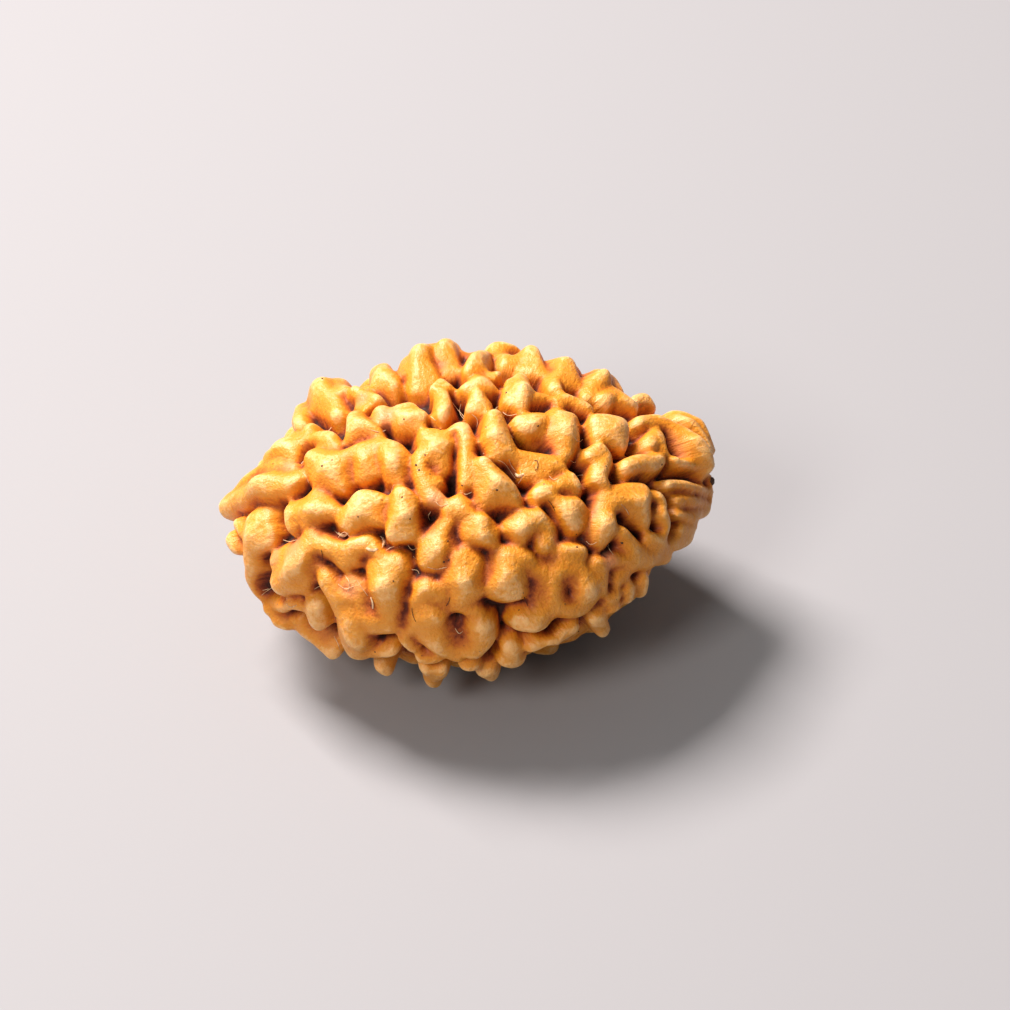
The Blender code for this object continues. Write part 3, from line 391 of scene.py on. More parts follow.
def place_ball(x, y, radius, depth=0.0, nearer=0.0):
    """Where a ball read from the photograph lies, and its radius: on the sight line through its
    middle, just under the oval over the tips, or as near to that as the line comes. One on the
    outline may then be brought nearer to the camera, where the seed is fuller than the oval."""
    back = camera_axes()[0]
    steps = np.linspace(VIEW_DISTANCE - LENGTH, VIEW_DISTANCE + LENGTH, RAY_STEPS)
    points = back * VIEW_DISTANCE + steps[:, None] * sight_ray(x, y)
    level = body_level(points, (radius + depth) / PIXELS_PER_METRE)
    inside = np.flatnonzero(level < 1)
    nearest = inside[0] if len(inside) else np.argmin(level)
    return points[nearest] + back * nearer / PIXELS_PER_METRE, radius / PIXELS_PER_METRE


def under_line():
    """Points of the seed's second line, a guess, which runs along its underside from pole to pole."""
    along = np.linspace(-LINE_END, LINE_END, LINE_POINTS)
    turn = np.radians(UNDER_TURN + UNDER_SWAY * np.sin(UNDER_WAVES * along))
    ring = np.sqrt(1 - along ** 2)
    return body_points(np.column_stack((along, ring * np.cos(turn), ring * np.sin(turn))), 0.0)


def top_line():
    """Points of the line that the photograph shows."""
    corners = np.array([place_ball(x, y, 0.0)[0] for x, y in MUKHI_LINE])
    along = np.linspace(corners[0, 0], corners[-1, 0], LINE_POINTS)
    return np.column_stack([np.interp(along, corners[:, 0], corners[:, axis]) for axis in range(3)])


def nearest_distance(points, targets):
    """Distance from each point to the nearest of the targets."""
    square = (points ** 2).sum(1)[:, None] + (targets ** 2).sum(1) - 2 * points @ targets.T
    return np.sqrt(np.maximum(square.min(1), 0))


def chain_points(chain):
    """Points close together along a chain of balls."""
    middles = np.array([ball[0] for ball in chain])
    share = np.linspace(0, 1, LINK_POINTS)[:, None]
    return np.concatenate([a + (b - a) * share for a, b in zip(middles, middles[1:])])


def rim_sink(point):
    """How much lower a lobe stands just behind the photograph's outline, so as not to alter it."""
    facing = outward(point) @ camera_axes()[0]
    return RIM_SINK * np.clip(1 - facing / RIM_FACING, 0, 1)


def grow_chain(centre, length, heading, radius):
    """A short chain of three balls over the body, turned from the long axis by an angle."""
    normal = outward(centre)
    lengthwise = np.array((1.0, 0.0, 0.0)) - normal * normal[0]
    lengthwise /= max(np.linalg.norm(lengthwise), TINY)
    course = lengthwise * np.cos(heading) + np.cross(normal, lengthwise) * np.sin(heading)
    chain = []
    for share in (-0.5, 0.0, 0.5):
        point = centre + course * length * share
        inset = radius + HIDDEN_SINK * abs(share) * 2 + rim_sink(point)
        for _ in range(LEVEL_STEPS):
            miss = 1 - body_level(point[None], inset)[0] ** 0.5
            point = point + outward(point) * miss * np.linalg.norm(point)
        chain.append((point, radius * (1 - END_NARROWING * abs(share))))
    return chain


def grow_hidden_chains(chains):
    """Lobes where the photograph shows none: each goes in the widest gap left, with a seeded draw
    of its length, heading and radius."""
    draw = np.random.default_rng(DRAW_SEED)
    spots = draw.normal(size=(SPOTS, 3))
    spots /= np.linalg.norm(spots, axis=1)[:, None]
    points = body_points(spots, SPOT_INSET)
    normals = np.array([outward(point) for point in points])
    points = points[normals @ camera_axes()[0] < HIDDEN_FACING]
    taken = np.concatenate([chain_points(chain) for chain in chains])
    lines = np.concatenate((top_line(), under_line()))
    line_room = nearest_distance(points, lines) + SPACING - LINE_ROOM
    room = np.minimum(nearest_distance(points, taken), line_room)
    while room.max() > SPACING:
        centre = points[np.argmax(room)]
        length = draw.uniform(*HIDDEN_LENGTH)
        heading = draw.normal() * HIDDEN_SWING
        radius = draw.uniform(*HIDDEN_RADIUS)
        grown = [grow_chain(centre, length, heading, radius)]
        if draw.random() < FOLD_CHANCE:
            grown.append(grow_chain(centre, length * FOLD_LENGTH, heading + FOLD_TURN, radius)[1:])
        chains.extend(grown)
        points_grown = np.concatenate([chain_points(chain) for chain in grown])
        room = np.minimum(room, nearest_distance(points, points_grown))


def all_chains():
    """Every chain of balls on the seed, the read ones first."""
    chains = [[place_ball(*ball) for ball in chain] for lobe in LOBES.values() for chain in lobe]
    grow_hidden_chains(chains)
    return chains


def domed(balls):
    """The balls of a broad face and one more in its middle, standing a little higher."""
    middle = np.mean([point for point, _ in balls], axis=0)
    radius = np.mean([radius for _, radius in balls])
    spread = max(np.linalg.norm(point - middle) for point, _ in balls)
    return balls + [(middle + outward(middle) * spread * DOME, radius)]


def all_faces():
    """The balls of each broad face."""
    return [domed([place_ball(*ball) for ball in face]) for face in FACES.values()]


def unit_ball():
    """The points of a small sphere."""
    ball = bmesh.new()
    bmesh.ops.create_icosphere(ball, subdivisions=BALL_LEVELS, radius=1.0)
    points = np.array([vertex.co for vertex in ball.verts])
    ball.free()
    return points


def add_hull(mesh, balls, sphere):
    """Adds the hull of some balls and of their roots in the body."""
    hull = bmesh.new()
    for point, radius in balls:
        root = point - outward(point) * ROOT_DEPTH
        root_radius = min(radius * ROOT_WIDEN + ROOT_EXTRA, max(ROOT_LARGEST, radius))
        for middle, size in ((point, radius), (root, root_radius)):
            for spot in middle + sphere * size:
                hull.verts.new(spot)
    made = bmesh.ops.convex_hull(hull, input=hull.verts[:])
    spare = [item for item in set(made["geom_interior"]) if isinstance(item, bmesh.types.BMVert)]
    bmesh.ops.delete(hull, geom=spare, context="VERTS")
    piece = bpy.data.meshes.new("hull")
    hull.to_mesh(piece)
    hull.free()
    mesh.from_mesh(piece)
    bpy.data.meshes.remove(piece)


def add_core(mesh):
    """Adds the oval body under the tubercles."""
    made = bmesh.ops.create_icosphere(mesh, subdivisions=CORE_LEVELS, radius=1.0)
    directions = np.array([vertex.co for vertex in made["verts"]])
    directions /= np.linalg.norm(directions, axis=1)[:, None]
    for vertex, point in zip(made["verts"], body_points(directions, RELIEF_SIDE)):
        vertex.co = point


def ripple(points, length, seed):
    """A smooth irregular wave between about -1 and 1 through space."""
    draw = np.random.default_rng(seed)
    total = np.zeros(len(points))
    for _ in range(RIPPLES):
        course = draw.normal(size=3)
        course *= 2 * np.pi / (np.linalg.norm(course) * length * draw.uniform(*WAVE_SPREAD))
        total += np.sin(points @ course + draw.uniform(0, 2 * np.pi))
    return total / RIPPLES ** 0.5


def joined_balls():
    """The core and every hull in one mesh, still crossing each other."""
    mesh = bmesh.new()
    add_core(mesh)
    sphere = unit_ball()
    for chain in all_chains():
        for pair in zip(chain, chain[1:]):
            add_hull(mesh, pair, sphere)
    for face in all_faces():
        add_hull(mesh, face, sphere)
    joined = bpy.data.meshes.new("joined_balls")
    mesh.to_mesh(joined)
    mesh.free()
    return joined


def worked_in(thing):
    """A new mesh with the object's modifiers worked in, which then come off it."""
    graph = bpy.context.evaluated_depsgraph_get()
    worked = bpy.data.meshes.new_from_object(thing.evaluated_get(graph))
    thing.modifiers.clear()
    return worked


def fuse(thing, voxel):
    """Makes one closed skin round everything in the object's mesh, eased where lobes meet."""
    skin = thing.modifiers.new("skin", "REMESH")
    skin.mode = "VOXEL"
    skin.voxel_size = voxel
    ease = thing.modifiers.new("ease", "SMOOTH")
    ease.factor = 0.5
    ease.iterations = SMOOTH_ROUNDS
    thing.data = worked_in(thing)


def wave_surface(mesh):
    """Moves the whole surface a little, so that no lobe is exactly round."""
    points = np.array([vertex.co for vertex in mesh.vertices])
    points += WAVE * np.column_stack([ripple(points, WAVE_LENGTH, seed) for seed in (1, 2, 3)])
    mesh.vertices.foreach_set("co", points.ravel())


def thin_out(thing):
    """Brings the mesh down to its triangle count, with the most of them where it curves most."""
    thinner = thing.modifiers.new("thin_out", "DECIMATE")
    thinner.ratio = TRIANGLES / (2 * len(thing.data.polygons))
    thing.data = worked_in(thing)


def cut_rest(mesh, level):
    """Cuts the lowest tips off flat at a height, and closes each cut."""
    geometry = mesh.verts[:] + mesh.edges[:] + mesh.faces[:]
    cut = bmesh.ops.bisect_plane(mesh, geom=geometry, plane_co=(0, 0, level), plane_no=(0, 0, -1),
                                 clear_outer=True, dist=CUT_MERGE)
    rims = [item for item in cut["geom_cut"] if isinstance(item, bmesh.types.BMEdge)]
    bmesh.ops.holes_fill(mesh, edges=rims, sides=0)


def set_down(thing):
    """Cuts the rest spots, puts the middle of the box's base on the origin and returns the move."""
    shape = bmesh.new()
    shape.from_mesh(thing.data)
    level = min(vertex.co.z for vertex in shape.verts) + REST_CUT
    cut_rest(shape, level)
    bmesh.ops.triangulate(shape, faces=shape.faces[:])
    middle = [(min(axis) + max(axis)) / 2 for axis in zip(*(vertex.co for vertex in shape.verts))]
    move = (-middle[0], -middle[1], -level)
    bmesh.ops.translate(shape, verts=shape.verts[:], vec=move)
    shape.to_mesh(thing.data)
    shape.free()
    return move


# The skin is rounded off more on its lobes than in the creases between them
ROUNDING = 22
LOBE_EASE = 0.4
HOLLOW_EASE = 0.12

# What the material reads off the skin: how far a spot stands out of its near and its wider surroundings
NEAR_ROUNDS = 6
WIDE_ROUNDS = 60
MEASURE_ROUNDS = 3
PIT_ROUNDS = 4
CREST_REACH = 0.05 * MM
CAVITY_REACH = 0.32 * MM

# Where pink pulp has dried on and which pits get painted shade, as pixels of the photograph
# with a reach in pixels, and the creases that get painted shade along them, as lines of such pixels
PINK_PULP = [(292, 550, 18), (274, 556, 12), (385, 414, 17), (436, 497, 15), (350, 588, 14),
             (362, 400, 12), (290, 465, 9), (512, 476, 10), (556, 540, 9), (610, 560, 12)]
PIT_SHADE_SPOTS = [(411, 593, 6), (456, 624, 8), (563, 589, 8), (267, 560, 8), (285, 540, 8), (328, 600, 7),
             (503, 610, 8), (530, 447, 12), (447, 557, 11), (498, 395, 9), (383, 484, 9),
             (455, 478, 12), (606, 556, 12), (620, 516, 9), (592, 545, 10), (712, 478, 9)]
CREASE_SHADE_LINES = [[(432, 607), (446, 613), (455, 622), (458, 638)], [(464, 605), (494, 604)],
                [(528, 572), (532, 588), (531, 603)], [(406, 600), (402, 616), (400, 632)],
                [(368, 636), (392, 637)], [(372, 588), (373, 612)], [(414, 572), (428, 575), (442, 576)],
                [(553, 619), (582, 610)]]
CREASE_REACH = 6
CREASE_STEP = 2
CREASE_SHARE = 0.7
PATCH_SLOPE = 1.5


def skin_spot(x, y):
    """Where the sight line through a pixel meets the skin, and the skin's normal there."""
    camera = Vector(camera_axes()[0] * VIEW_DISTANCE) + set_down_by
    course = Vector(sight_ray(x, y))
    spot, normal, _, _ = skin.ray_cast(camera, course)
    if spot is None:
        spot, normal, _, _ = skin.find_nearest(camera + course * VIEW_DISTANCE)
    return spot, normal


def eased(values, edges, rounds):
    """Values on the vertices, averaged with their neighbours' over a number of rounds."""
    count = len(values)
    links = np.bincount(edges.ravel(), minlength=count)[:, None] + 1
    for _ in range(rounds):
        total = values.copy()
        for axis in range(values.shape[1]):
            total[:, axis] += np.bincount(edges[:, 0], values[edges[:, 1], axis], count)
            total[:, axis] += np.bincount(edges[:, 1], values[edges[:, 0], axis], count)
        values = total / links
    return values


def read_out(items, name, width, kind=float):
    """One value of every vertex or edge as an array."""
    values = np.empty(len(items) * width, dtype=kind)
    items.foreach_get(name, values)
    return values.reshape(-1, width)


def round_lobes(mesh):
    """Rounds the lobes off while the creases between them stay sharp."""
    points = read_out(mesh.vertices, "co", 3)
    normals = read_out(mesh.vertices, "normal", 3)
    edges = read_out(mesh.edges, "vertices", 2, np.int32)
    for _ in range(ROUNDING):
        move = eased(points, edges, 1) - points
        hollow = (move * normals).sum(1) > 0
        points += move * np.where(hollow, HOLLOW_EASE, LOBE_EASE)[:, None]
    mesh.vertices.foreach_set("co", points.ravel())
    mesh.update()


def keep_measure(mesh, name, values):
    """Keeps one number a vertex on the mesh for its material to read."""
    layer = mesh.attributes.new(name, "FLOAT", "POINT")
    layer.data.foreach_set("value", values.astype(np.float32).ravel())


def nearness(points, patches):
    """How deep in a round patch each point lies, from 0 at its rim to 1 over its inner third."""
    near = np.zeros(len(points))
    for x, y, reach in patches:
        away = np.linalg.norm(points - np.array(skin_spot(x, y)[0]), axis=1) * PIXELS_PER_METRE
        near = np.maximum(near, np.clip(PATCH_SLOPE * (1 - away / reach), 0, 1))
    return near


def along(lines, reach):
    """Round patches so close together along the lines that they run into one."""
    patches = []
    for line in lines:
        for (x, y), (end_x, end_y) in zip(line, line[1:]):
            steps = max(abs(end_x - x), abs(end_y - y)) // CREASE_STEP + 1
            patches += [(x + (end_x - x) * step / steps, y + (end_y - y) * step / steps, reach)
                        for step in range(steps + 1)]
    return patches


def measure_skin(mesh):
    """Keeps how far each spot stands out of what is near it, how pink it is and its painted shade in pits.
    """
    points = read_out(mesh.vertices, "co", 3)
    normals = read_out(mesh.vertices, "normal", 3)
    edges = read_out(mesh.edges, "vertices", 2, np.int32)
    near = eased(points, edges, NEAR_ROUNDS)
    wide = eased(near, edges, WIDE_ROUNDS)
    crest = ((points - near) * normals).sum(1)[:, None] / CREST_REACH
    cavity = ((points - wide) * normals).sum(1)[:, None] / CAVITY_REACH
    cavity = eased(cavity, edges, MEASURE_ROUNDS)
    keep_measure(mesh, "crest", eased(crest, edges, MEASURE_ROUNDS))
    keep_measure(mesh, "cavity", cavity)
    keep_measure(mesh, "pink", nearness(points, PINK_PULP))
    # The listed pits and creases are darkened as painted shade
    creases = nearness(points, along(CREASE_SHADE_LINES, CREASE_REACH)) * CREASE_SHARE
    pit = np.maximum(nearness(points, PIT_SHADE_SPOTS), creases)[:, None]
    keep_measure(mesh, "pit", eased(pit, edges, PIT_ROUNDS))
    return points, normals, cavity.ravel()


def skin_tree(mesh):
    """The skin as a tree that finds where a line meets it."""
    return BVHTree.FromPolygons([vertex.co for vertex in mesh.vertices],
                                [polygon.vertices for polygon in mesh.polygons])


def colour(hex_code):
    """An sRGB hex colour as linear RGBA."""
    parts = [int(hex_code[place:place + 2], 16) / 255 for place in (1, 3, 5)]
    linear = [part / 12.92 if part <= 0.04045 else ((part + 0.055) / 1.055) ** 2.4 for part in parts]
    return (*linear, 1.0)


def add_node(tree, kind, settings, inputs, out=0, stops=()):
    """Adds a node with its settings, its inputs as values or as the outputs they come from, and the
    stops of a colour ramp, and returns one of its outputs."""
    node = tree.nodes.new(kind)
    for name, value in settings.items():
        setattr(node, name, value)
    for name, value in inputs.items():
        if isinstance(value, bpy.types.NodeSocket):
            tree.links.new(value, node.inputs[name])
        else:
            node.inputs[name].default_value = value
    for place, (position, value) in enumerate(stops):
        if place >= len(node.color_ramp.elements):
            node.color_ramp.elements.new(position)
        node.color_ramp.elements[place].position = position
        node.color_ramp.elements[place].color = value
    return node.outputs[out]


# Stone, dried and lightly oiled: hard lignin-rich tissue, ochre with a painted highlight on the crests,
# and near black in the crevices, partly from the dried pulp left there and partly as painted shade
PULP_AND_SHADE_CREVICE = "#320F04"
PULP_AND_SHADE_DEEP = "#6C2406"
FLANK = "#B05608"
FACE = "#D88416"
SHOULDER = "#DE9330"
CREST_HIGHLIGHT = "#ECB570"
PINK = "#DE9066"
PORE = "#3A1B0C"

# The fibre bundles that streak the flanks are about 0.2 mm wide, the mottling about 0.9 mm, and the pores
# about 0.85 mm apart. The cells of the stone are about 0.02 mm across, which is too fine to show, so its
# grain is drawn at 0.07 mm
STREAK_WIDTH = 0.2 * MM
MOTTLE_WIDTH = 0.9 * MM
GRAIN_WIDTH = 0.07 * MM
PORE_SPACING = 0.85 * MM

# How light the stone is: a level for all of it and what each measure and pattern adds to that
TONE_LEVEL = 0.09
HIGHEST_CAVITY = 0.8
# The cavity share is painted shade in the hollows and paler tops, the crest share a painted highlight and
# the pit share painted shade
CAVITY_LIGHT_AND_SHADE_TONE = 0.36
CREST_HIGHLIGHT_TONE = 0.16
MOTTLE_TONE = 0.36
STREAK_TONE = 0.34
GRAIN_TONE = 0.12
PIT_SHADE_TONE = -0.28
PINK_SHARE = 0.6
PORE_SHARE = 0.55
PORE_EDGES = (0.03, 0.055)

# How rough the dark crevices and the polished crests are, and how far the patterns stand up
ROUGH_TONES = (0.1, 0.75)
CREVICE_ROUGHNESS = 0.85
CREST_ROUGHNESS = 0.4
GRAIN_RELIEF = 0.4
MOTTLE_RELIEF = 1.6
RELIEF_DEPTH = 0.08 * MM


def oiled_stone():
    """The seed stone's own material."""
    material = bpy.data.materials.new("oiled_seed_stone")
    material.use_nodes = True
    tree = material.node_tree
    shader = tree.nodes["Principled BSDF"]
    place = add_node(tree, "ShaderNodeTexCoord", {}, {}, "Object")
    crest, cavity, pink, pit = [add_node(tree, "ShaderNodeAttribute", {"attribute_name": name}, {}, "Fac")
                                for name in ("crest", "cavity", "pink", "pit")]

    # Streaks run down the flanks: they keep their place along each line out of the body's middle
    half = half_sizes(0.0)
    spread = place
    for operation, amount in (("SUBTRACT", set_down_by), ("DIVIDE", half), ("NORMALIZE", None),
                              ("MULTIPLY", half)):
        second = {} if amount is None else {1: amount}
        spread = add_node(tree, "ShaderNodeVectorMath", {"operation": operation}, {0: spread, **second})
    streaks = add_node(tree, "ShaderNodeTexNoise", {},
                       {"Vector": spread, "Scale": 1 / STREAK_WIDTH, "Detail": 2.0, "Roughness": 0.5})
    mottle = add_node(tree, "ShaderNodeTexNoise", {},
                      {"Vector": place, "Scale": 1 / MOTTLE_WIDTH, "Detail": 4.0, "Roughness": 0.6})
    grain = add_node(tree, "ShaderNodeTexNoise", {},
                     {"Vector": place, "Scale": 1 / GRAIN_WIDTH, "Detail": 3.0, "Roughness": 0.6})

    # The stone is painted darker the deeper a spot lies, with the streaks and the mottling over that
    # The darkening is partly dried pulp in the crevices and partly painted shade; crests get a painted
    # highlight
    height = add_node(tree, "ShaderNodeMath", {"operation": "MINIMUM"}, {0: cavity, 1: HIGHEST_CAVITY})
    tone = TONE_LEVEL
    for source, share in ((height, CAVITY_LIGHT_AND_SHADE_TONE), (crest, CREST_HIGHLIGHT_TONE), (mottle, MOTTLE_TONE),
                          (streaks, STREAK_TONE), (grain, GRAIN_TONE), (pit, PIT_SHADE_TONE)):
        tone = add_node(tree, "ShaderNodeMath", {"operation": "MULTIPLY_ADD"},
                        {0: source, 1: share, 2: tone})
    hue = add_node(tree, "ShaderNodeValToRGB", {}, {"Fac": tone},
                   stops=[(0.0, colour(PULP_AND_SHADE_CREVICE)), (0.15, colour(PULP_AND_SHADE_DEEP)), (0.34, colour(FLANK)),
                          (0.60, colour(FACE)), (0.84, colour(SHOULDER)), (1.0, colour(CREST_HIGHLIGHT))])
    pinker = add_node(tree, "ShaderNodeMath", {"operation": "MULTIPLY"}, {0: pink, 1: PINK_SHARE})
    hue = add_node(tree, "ShaderNodeMix", {"data_type": "RGBA"}, {0: pinker, 6: hue, 7: colour(PINK)}, 2)
    pores = add_node(tree, "ShaderNodeTexVoronoi", {}, {"Vector": place, "Scale": 1 / PORE_SPACING})
    pore = add_node(tree, "ShaderNodeMapRange", {},
                    {"Value": pores, "From Min": PORE_EDGES[0], "From Max": PORE_EDGES[1],
                     "To Min": PORE_SHARE, "To Max": 0.0})
    hue = add_node(tree, "ShaderNodeMix", {"data_type": "RGBA"}, {0: pore, 6: hue, 7: colour(PORE)}, 2)
    tree.links.new(hue, shader.inputs["Base Color"])

    # Crests are polished by handling and crevices are dull
    dull = add_node(tree, "ShaderNodeMapRange", {},
                    {"Value": tone, "From Min": ROUGH_TONES[0], "From Max": ROUGH_TONES[1],
                     "To Min": CREVICE_ROUGHNESS, "To Max": CREST_ROUGHNESS})
    tree.links.new(dull, shader.inputs["Roughness"])
    raised = streaks
    for source, share in ((grain, GRAIN_RELIEF), (mottle, MOTTLE_RELIEF)):
        raised = add_node(tree, "ShaderNodeMath", {"operation": "MULTIPLY_ADD"},
                          {0: source, 1: share, 2: raised})
    bump = add_node(tree, "ShaderNodeBump", {},
                    {"Height": raised, "Strength": 0.8, "Distance": RELIEF_DEPTH})
    tree.links.new(bump, shader.inputs["Normal"])
    shader.inputs["IOR"].default_value = 1.45
    shader.inputs["Metallic"].default_value = 0.0
    shader.inputs["Subsurface Weight"].default_value = 0.18
    shader.inputs["Subsurface Radius"].default_value = (1.0, 0.55, 0.2)
    shader.inputs["Subsurface Scale"].default_value = 0.25 * MM
    shader.inputs["Coat Weight"].default_value = 0.06
    shader.inputs["Coat Roughness"].default_value = 0.25
    return material


seed = bpy.data.objects.new("seed_skin", joined_balls())
bpy.context.scene.collection.objects.link(seed)
fuse(seed, VOXEL)
round_lobes(seed.data)
wave_surface(seed.data)
thin_out(seed)
set_down_by = Vector(set_down(seed))
seed.data.shade_smooth()
skin = skin_tree(seed.data)
skin_points, skin_normals, skin_cavity = measure_skin(seed.data)
seed.data.materials.append(oiled_stone())
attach(seed, "root")
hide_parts("seed_stone")


# The dried pulp
# Whitish threads and scraps of the fruit's pulp, dried on to the stone in its crevices. A thread is a
# thin tapering tube, and a scrap a flattened one; each clings to the skin by its two ends.
PULP_COLOUR = "#EBCFA4"
PULP_SHADE = "#B98C63"
PULP_BLOTCH = 0.25 * MM
PULP_ROUGHNESS = 0.8
BLOTCH_EDGES = (0.35, 0.62)
BLOTCH_RELIEF = 0.03 * MM
THREAD_RADIUS = 0.016 * MM
SCRAP_RADIUS = 0.075 * MM
SCRAP_FLATTENED = 0.3
THREAD_LIFT = 0.05 * MM
STRAND_SIDES = 6
STRAND_END = 0.25
CORNER_CUTS = 3
CUT_SHARE = 0.25
FUZZ_SEED = 5
FUZZ_COUNT = 80
FUZZ_LENGTH = (0.25 * MM, 0.9 * MM)
FUZZ_DEPTH = -0.45
FUZZ_SWAY = 0.15

# Threads and scraps that the photograph shows, as pixels along each
THREADS = [[(483, 453), (494, 458), (505, 462), (510, 470), (516, 479)],
           [(509, 459), (512, 466), (516, 471)], [(520, 470), (523, 478), (518, 484)],
           [(452, 402), (458, 410), (464, 416), (470, 426)],
           [(461, 404), (459, 413), (466, 421)], [(430, 416), (437, 422), (446, 425)],
           [(472, 414), (479, 419), (477, 428)], [(371, 430), (380, 433), (386, 430)],
           [(299, 470), (306, 475), (309, 483)], [(503, 412), (509, 416), (517, 414)],
           [(283, 540), (290, 543), (297, 540)], [(335, 531), (341, 536), (349, 533)],
           [(338, 538), (345, 531), (350, 537)], [(380, 536), (384, 542), (382, 548)],
           [(408, 545), (412, 550), (417, 548)], [(413, 556), (423, 565), (436, 570), (447, 567)],
           [(436, 502), (441, 507), (448, 504)], [(460, 490), (466, 495), (472, 492)],
           [(286, 603), (291, 608), (297, 605)], [(334, 636), (338, 643), (340, 650)],
           [(455, 628), (459, 634), (463, 631)], [(549, 476), (553, 481), (559, 478)],
           [(586, 541), (591, 545), (597, 542)], [(621, 504), (626, 509), (629, 515)],
           [(345, 575), (351, 583), (348, 592)], [(357, 580), (362, 588), (368, 596)],
           [(338, 584), (346, 590), (354, 586)], [(574, 437), (578, 443), (583, 439)]]
SCRAPS = [[(515, 473), (519, 477), (524, 474)], [(338, 533), (344, 537), (348, 533)],
          [(366, 548), (372, 551), (378, 549)], [(371, 597), (374, 603), (373, 609)],
          [(382, 537), (384, 542), (383, 546)]]


def rounded_course(corners):
    """A course of points with its corners cut off a few times over."""
    for _ in range(CORNER_CUTS):
        cut = [corners[0]]
        for start, end in zip(corners, corners[1:]):
            cut += [start.lerp(end, CUT_SHARE), start.lerp(end, 1 - CUT_SHARE)]
        corners = cut + [corners[-1]]
    return corners


def add_strand(mesh, corners, radius, flattened):
    """Adds a tapering strand that arches off the skin between its ends."""
    course = rounded_course([spot for spot, _ in corners])
    normal = sum((normal for _, normal in corners), Vector()).normalized()
    rings = []
    for place, point in enumerate(course):
        share = place / (len(course) - 1)
        ahead = (course[min(place + 1, len(course) - 1)] - course[max(place - 1, 0)]).normalized()
        across = ahead.cross(normal).normalized()
        out = across.cross(ahead) * flattened
        middle = point + normal * THREAD_LIFT * math.sin(math.pi * share)
        reach = radius * (STRAND_END + (1 - STRAND_END) * math.sin(math.pi * share) ** 0.5)
        turns = [2 * math.pi * side / STRAND_SIDES for side in range(STRAND_SIDES)]
        rings.append([mesh.verts.new(middle + reach * (math.cos(turn) * across + math.sin(turn) * out))
                      for turn in turns])
    for first, second in zip(rings, rings[1:]):
        for side in range(STRAND_SIDES):
            mesh.faces.new((first[side - 1], first[side], second[side], second[side - 1]))
    mesh.faces.new(rings[0])
    mesh.faces.new(rings[-1])


def fuzz_strands():
    """Short threads over the crevices of the whole seed, from a seeded draw."""
    draw = np.random.default_rng(FUZZ_SEED)
    crevices = np.flatnonzero(skin_cavity < FUZZ_DEPTH)
    strands = []
    for start in draw.choice(crevices, FUZZ_COUNT):
        length = draw.uniform(*FUZZ_LENGTH)
        heading = Vector(draw.normal(size=3))
        corners = []
        for step in (-0.5, 0.0, 0.5):
            sway = Vector(draw.normal(size=3)) * length * FUZZ_SWAY
            above = Vector(skin_points[start]) + heading * length * step + sway
            spot, normal, _, _ = skin.find_nearest(above)
            corners.append((spot, normal))
        strands.append(corners)
    return strands


def finished_piece(name, mesh, material):
    """A new piece on the seed from its bmesh and its material."""
    shape = bpy.data.meshes.new(name)
    bmesh.ops.recalc_face_normals(mesh, faces=mesh.faces[:])
    mesh.to_mesh(shape)
    mesh.free()
    shape.shade_smooth()
    shape.materials.append(material)
    piece = bpy.data.objects.new(name, shape)
    bpy.context.scene.collection.objects.link(piece)
    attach(piece, "root")


def blotched_material(name, light, dark, blotch, roughness):
    """A dull material that wanders between two colours."""
    material = bpy.data.materials.new(name)
    material.use_nodes = True
    tree = material.node_tree
    shader = tree.nodes["Principled BSDF"]
    place = add_node(tree, "ShaderNodeTexCoord", {}, {}, "Object")
    blotches = add_node(tree, "ShaderNodeTexNoise", {},
                        {"Vector": place, "Scale": 1 / blotch, "Detail": 3.0})
    hue = add_node(tree, "ShaderNodeValToRGB", {}, {"Fac": blotches},
                   stops=[(BLOTCH_EDGES[0], colour(dark)), (BLOTCH_EDGES[1], colour(light))])
    tree.links.new(hue, shader.inputs["Base Color"])
    bump = add_node(tree, "ShaderNodeBump", {},
                    {"Height": blotches, "Strength": 0.6, "Distance": BLOTCH_RELIEF})
    tree.links.new(bump, shader.inputs["Normal"])
    shader.inputs["Roughness"].default_value = roughness
    return material


# Papery dried pulp: matt, off-white with tan blotches, so that the threads stand out from the stone
pulp = bmesh.new()
for line in THREADS:
    add_strand(pulp, [skin_spot(*pixel) for pixel in line], THREAD_RADIUS, 1.0)
for line in SCRAPS:
    add_strand(pulp, [skin_spot(*pixel) for pixel in line], SCRAP_RADIUS, SCRAP_FLATTENED)
for corners in fuzz_strands():
    add_strand(pulp, corners, THREAD_RADIUS, 1.0)
papery = blotched_material("papery_pulp", PULP_COLOUR, PULP_SHADE, PULP_BLOTCH, PULP_ROUGHNESS)
finished_piece("dried_pulp", pulp, papery)


# The dark hairs, crumbs and stem mark
# Fine dark hairs lie on the front lobes, crumbs of dark pulp are dotted over the skin, and the dried
# stump of the stem sits at the sharp pole. All cling to the stone, sunk a little into it.
DARK_LIGHTER = "#4A2A14"
DARK_DEEPER = "#1C0E06"
DARK_BLOTCH = 0.1 * MM
DARK_ROUGHNESS = 0.7
HAIR_RADIUS = 0.016 * MM
CRUMB_RADIUS = (0.028 * MM, 0.055 * MM)
CRUMB_FLATTENED = 0.55
CRUMB_STRETCH = (0.7, 1.5)
CRUMB_LUMPS = (0.8, 1.15)
CRUMB_SEED = 8
CRUMB_COUNT = 60
STUMP_PIXEL = (713, 481)
STUMP_RADIUS = 0.2 * MM
HAIRS = [[(450, 597), (449, 602), (446, 606)], [(523, 592), (525, 599), (528, 606)],
         [(412, 608), (413, 614), (416, 622)], [(534, 461), (537, 460), (538, 466), (536, 472), (534, 467)],
         [(321, 549), (323, 554), (322, 561)], [(548, 500), (553, 505), (555, 511)]]
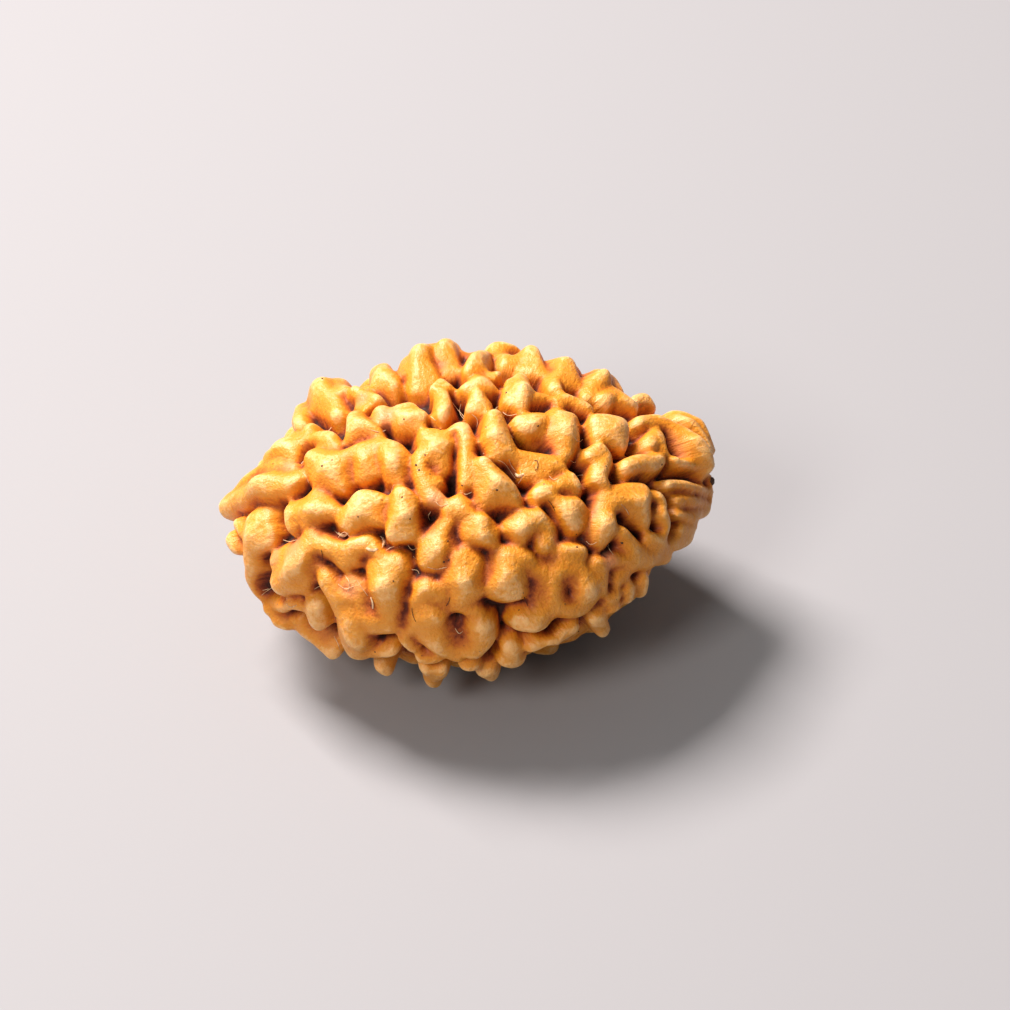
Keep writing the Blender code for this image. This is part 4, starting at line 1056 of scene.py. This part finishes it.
CRUMBS = [(448, 541), (410, 519), (382, 500), (425, 455), (416, 465), (419, 470), (491, 481), (544, 484),
          (577, 547), (622, 543), (375, 652), (519, 610), (565, 604), (404, 419), (486, 427), (447, 557),
          (449, 560), (444, 562), (497, 490), (322, 466), (332, 460), (538, 426), (578, 427), (578, 431),
          (606, 466), (402, 497), (470, 478), (430, 474)]


def add_crumb(mesh, spot, normal, radius, draw):
    """Adds a lumpy flattened crumb, half sunk in the skin."""
    made = bmesh.ops.create_icosphere(mesh, subdivisions=2, radius=1.0)
    stretch = draw.uniform(*CRUMB_STRETCH)
    turn = normal.to_track_quat("Z", "Y")
    for vertex in made["verts"]:
        lumpy = vertex.co * draw.uniform(*CRUMB_LUMPS)
        lumpy.x *= stretch
        lumpy.z *= CRUMB_FLATTENED
        vertex.co = spot + turn @ (lumpy * radius)


crumb_draw = np.random.default_rng(CRUMB_SEED)
crumbs = bmesh.new()
for pixel in CRUMBS:
    add_crumb(crumbs, *skin_spot(*pixel), crumb_draw.uniform(*CRUMB_RADIUS), crumb_draw)
for vertex in crumb_draw.choice(len(skin_points), CRUMB_COUNT):
    spot = Vector(skin_points[vertex])
    add_crumb(crumbs, spot, Vector(skin_normals[vertex]), crumb_draw.uniform(*CRUMB_RADIUS), crumb_draw)
add_crumb(crumbs, *skin_spot(*STUMP_PIXEL), STUMP_RADIUS, crumb_draw)
for line in HAIRS:
    add_strand(crumbs, [skin_spot(*pixel) for pixel in line], HAIR_RADIUS, 1.0)

# Pulp gone brown and hard: nearly black, with a faint sheen
browned = blotched_material("dark_dried_pulp", DARK_LIGHTER, DARK_DEEPER, DARK_BLOTCH, DARK_ROUGHNESS)
finished_piece("dark_debris", crumbs, browned)


# The floor, sky, lights and camera
# A plain pale board, seen from where the photograph was taken. A large soft light from the upper left
# behind bleaches the crests as the photograph's does, and a weaker one from the left in front fills.
FLOOR_SIZE = 1.2
FLOOR_COLOUR = "#96979B"
floor_mesh = bpy.data.meshes.new("floor")
plane = bmesh.new()
bmesh.ops.create_grid(plane, x_segments=1, y_segments=1, size=FLOOR_SIZE / 2)
plane.to_mesh(floor_mesh)
plane.free()
floor = bpy.data.objects.new("floor", floor_mesh)
bpy.context.scene.collection.objects.link(floor)
board = bpy.data.materials.new("pale_matt_board")
board.use_nodes = True
board.node_tree.nodes["Principled BSDF"].inputs["Base Color"].default_value = colour(FLOOR_COLOUR)
board.node_tree.nodes["Principled BSDF"].inputs["Roughness"].default_value = 0.8
floor_mesh.materials.append(board)

SKY_COLOUR = "#FFFFFF"
SKY_STRENGTH = 0.18
sky = bpy.data.worlds.new("studio_sky")
bpy.context.scene.world = sky
sky.use_nodes = True
sky.node_tree.nodes["Background"].inputs["Color"].default_value = colour(SKY_COLOUR)
sky.node_tree.nodes["Background"].inputs["Strength"].default_value = SKY_STRENGTH


def soft_box(name, place, size, power, tint):
    """A square soft light aimed at the seed."""
    light = bpy.data.lights.new(name, "AREA")
    light.size = size
    light.energy = power
    light.color = colour(tint)[:3]
    lamp = bpy.data.objects.new(name, light)
    lamp.location = place
    aim = Vector((0, 0, HEIGHT / 2)) - Vector(place)
    lamp.rotation_euler = aim.to_track_quat("-Z", "Y").to_euler()
    bpy.context.scene.collection.objects.link(lamp)


soft_box("key_light", (-0.13, 0.13, 0.27), 0.12, 2.5, "#FFF4EE")
soft_box("fill_light", (-0.14, -0.16, 0.20), 0.09, 0.44, "#FFF6EE")

IMAGE_SIDE = 1010
SENSOR = 36.0
camera_data = bpy.data.cameras.new("camera")
camera_data.sensor_width = SENSOR
camera_data.lens = SENSOR * PIXELS_PER_METRE * VIEW_DISTANCE / IMAGE_SIDE
camera_data.shift_x = (IMAGE_SIDE / 2 - SEED_PIXEL[0]) / IMAGE_SIDE
camera_data.shift_y = (SEED_PIXEL[1] - IMAGE_SIDE / 2) / IMAGE_SIDE
camera_data.clip_start = 0.01
camera = bpy.data.objects.new("camera", camera_data)
bpy.context.scene.collection.objects.link(camera)
back, right, up = camera_axes()
turn = Matrix((right, up, back)).transposed().to_4x4()
camera.matrix_world = Matrix.Translation(Vector(back * VIEW_DISTANCE) + set_down_by) @ turn
bpy.context.scene.camera = camera
bpy.context.scene.view_settings.view_transform = "Standard"
